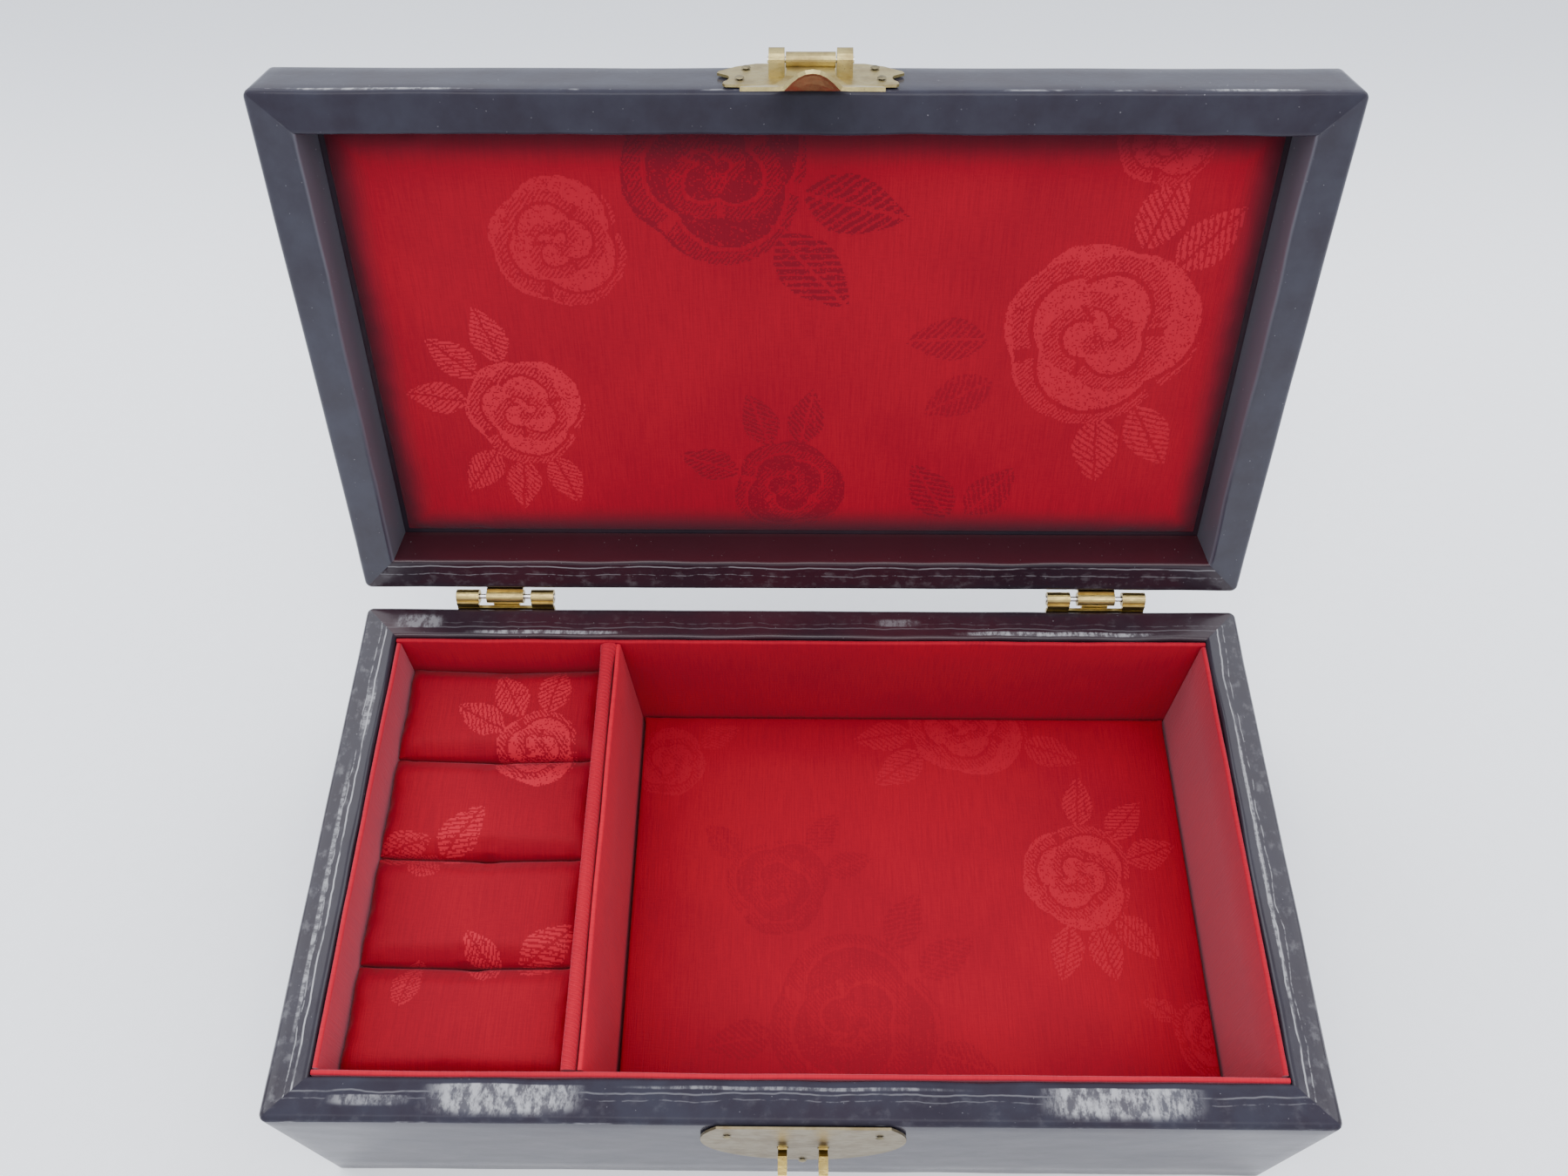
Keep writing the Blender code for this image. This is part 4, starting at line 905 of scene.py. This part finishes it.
def make_metal_looks():
    """The look for each key that the name of a metal CAD node holds."""
    # Painted shade just above each staple, where its strap leaves the plate.
    shade_spots = [(CATCH_X + side * STAPLE_SPACING, BASE_HEIGHT - SHADE_SPOT_DEPTH) for side in (-1, 1)]
    catch = metal("brass_catch", CATCH_BRASS, CATCH_TARNISH, roughness=0.38, stain=0.7, seed=1.0,
                  spots=shade_spots)
    latch = metal("brass_latch", LATCH_BRASS, TARNISH, roughness=0.34, stain=0.7, seed=1.5)
    bright = metal("brass_bright", WARM_BRASS, TARNISH, roughness=0.22, stain=0.45, seed=2.0)
    hinge = metal("brass_hinge", HINGE_BRASS, TARNISH, roughness=0.26, stain=0.6, seed=3.0)
    nail = metal("brass_nail", NAIL_BRASS, NAIL_TARNISH, roughness=0.42, stain=0.8, seed=4.0)
    steel = metal("steel_pin", STEEL, STEEL_DULLED, roughness=0.22, stain=0.5, seed=5.0,
                  grime=STEEL_GRIME)
    return {"_nail": nail, "_pin": steel, "catch_plate": catch, "latch_plate": latch, "staple": bright,
            "hasp_flap": latch, "hinge": hinge}


def paint_carried_nodes():
    """CAD nodes whose shape stays get a full material on their own slots."""
    metals = make_metal_looks()
    wood = lacquer("lacquer_panel", dust_and_reflection=0.35, red=0.8, seed=9.0)
    card = matte("grey_card_fibres", CARD_GREY, CARD_DARK, scale=400.0, roughness=0.85)
    foam = matte("foam_cells", FOAM_PALE, FOAM_DARK, scale=700.0, roughness=0.95)
    others = {"base_bottom_panel": wood, "lid_top_panel": wood, "floor_board": card,
              "ring_roll_bed": foam}
    for name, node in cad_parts.items():
        look = others.get(name)
        for key, metal_look in metals.items():
            if look is None and key in name:
                look = metal_look
        if look is not None and not node.hide_render:
            for material_slot in node.material_slots:
                material_slot.material = look
            if name in EASED_PLATES:
                ease = node.modifiers.new("eased_edges", "BEVEL")
                ease.width = EASED_WIDTH
                ease.segments = 2
                ease.limit_method = "ANGLE"
                ease.angle_limit = math.radians(SHARP_ANGLE)


# ---- Stage --------------------------------------------------------------------------------------
FLOOR_HALF = 3.0
FLOOR_LEVEL = -0.0002
ROOM_COLOUR = (0.90, 0.93, 1.0, 1.0)
ROOM_STRENGTH = 1.35
KEY_COLOUR = (1.0, 0.99, 0.97)
WINDOW_COLOUR = (0.93, 0.96, 1.0)
WINDOW_SIZE = (1.7, 1.8)
FOCAL_LENGTH = 29.84              # millimetres
SENSOR_WIDTH = 36.0               # millimetres
CAMERA_PLACE = (-0.0015, -0.1294, 0.3807)
CAMERA_PAN = 0.876                # degrees
CAMERA_TILT = 33.085
CAMERA_ROLL = -0.459


def soft_light(name, place, aim, size, power, colour):
    """An area light turned towards a point."""
    data = bpy.data.lights.new(name, "AREA")
    data.shape = "RECTANGLE"
    data.size, data.size_y = size
    data.energy = power
    data.color = colour
    lamp = bpy.data.objects.new(name, data)
    bpy.context.scene.collection.objects.link(lamp)
    lamp.location = place
    lamp.rotation_euler = (Vector(aim) - Vector(place)).to_track_quat("-Z", "Y").to_euler()


def make_stage():
    mesh = bpy.data.meshes.new("floor")
    half = FLOOR_HALF
    mesh.from_pydata([(-half, -half, 0), (half, -half, 0), (half, half, 0), (-half, half, 0)], [],
                     [(0, 1, 2, 3)])
    mesh.materials.append(pale_floor())
    floor = bpy.data.objects.new("floor", mesh)
    bpy.context.scene.collection.objects.link(floor)
    floor.location = (0.0, 0.0, FLOOR_LEVEL)

    world = bpy.data.worlds.new("soft_room")
    bpy.context.scene.world = world
    world.use_nodes = True
    background = world.node_tree.nodes["Background"]
    background.inputs["Color"].default_value = ROOM_COLOUR
    background.inputs["Strength"].default_value = ROOM_STRENGTH
    soft_light("key", place=(0.0, -0.55, 1.50), aim=(0.0, 0.0, 0.05), size=(1.4, 0.8), power=17.0,
               colour=KEY_COLOUR)
    soft_light("left_window", place=(-1.25, 0.95, 1.50), aim=(0.0, 0.0, 0.0), size=WINDOW_SIZE,
               power=30.0, colour=WINDOW_COLOUR)
    soft_light("right_window", place=(1.25, 0.95, 1.50), aim=(0.0, 0.0, 0.0), size=WINDOW_SIZE,
               power=26.0, colour=WINDOW_COLOUR)


def make_camera():
    data = bpy.data.cameras.new("camera")
    data.lens = FOCAL_LENGTH
    data.sensor_width = SENSOR_WIDTH
    data.clip_start = 0.01
    camera = bpy.data.objects.new("camera", data)
    bpy.context.scene.collection.objects.link(camera)
    turn = (Matrix.Rotation(math.radians(CAMERA_PAN), 4, "Z")
            @ Matrix.Rotation(math.radians(CAMERA_TILT), 4, "X")
            @ Matrix.Rotation(math.radians(CAMERA_ROLL), 4, "Z"))
    camera.matrix_world = Matrix.Translation(CAMERA_PLACE) @ turn
    bpy.context.scene.camera = camera


make_camera()
make_stage()
make_walls()
make_liners()
make_pads()
paint_carried_nodes()
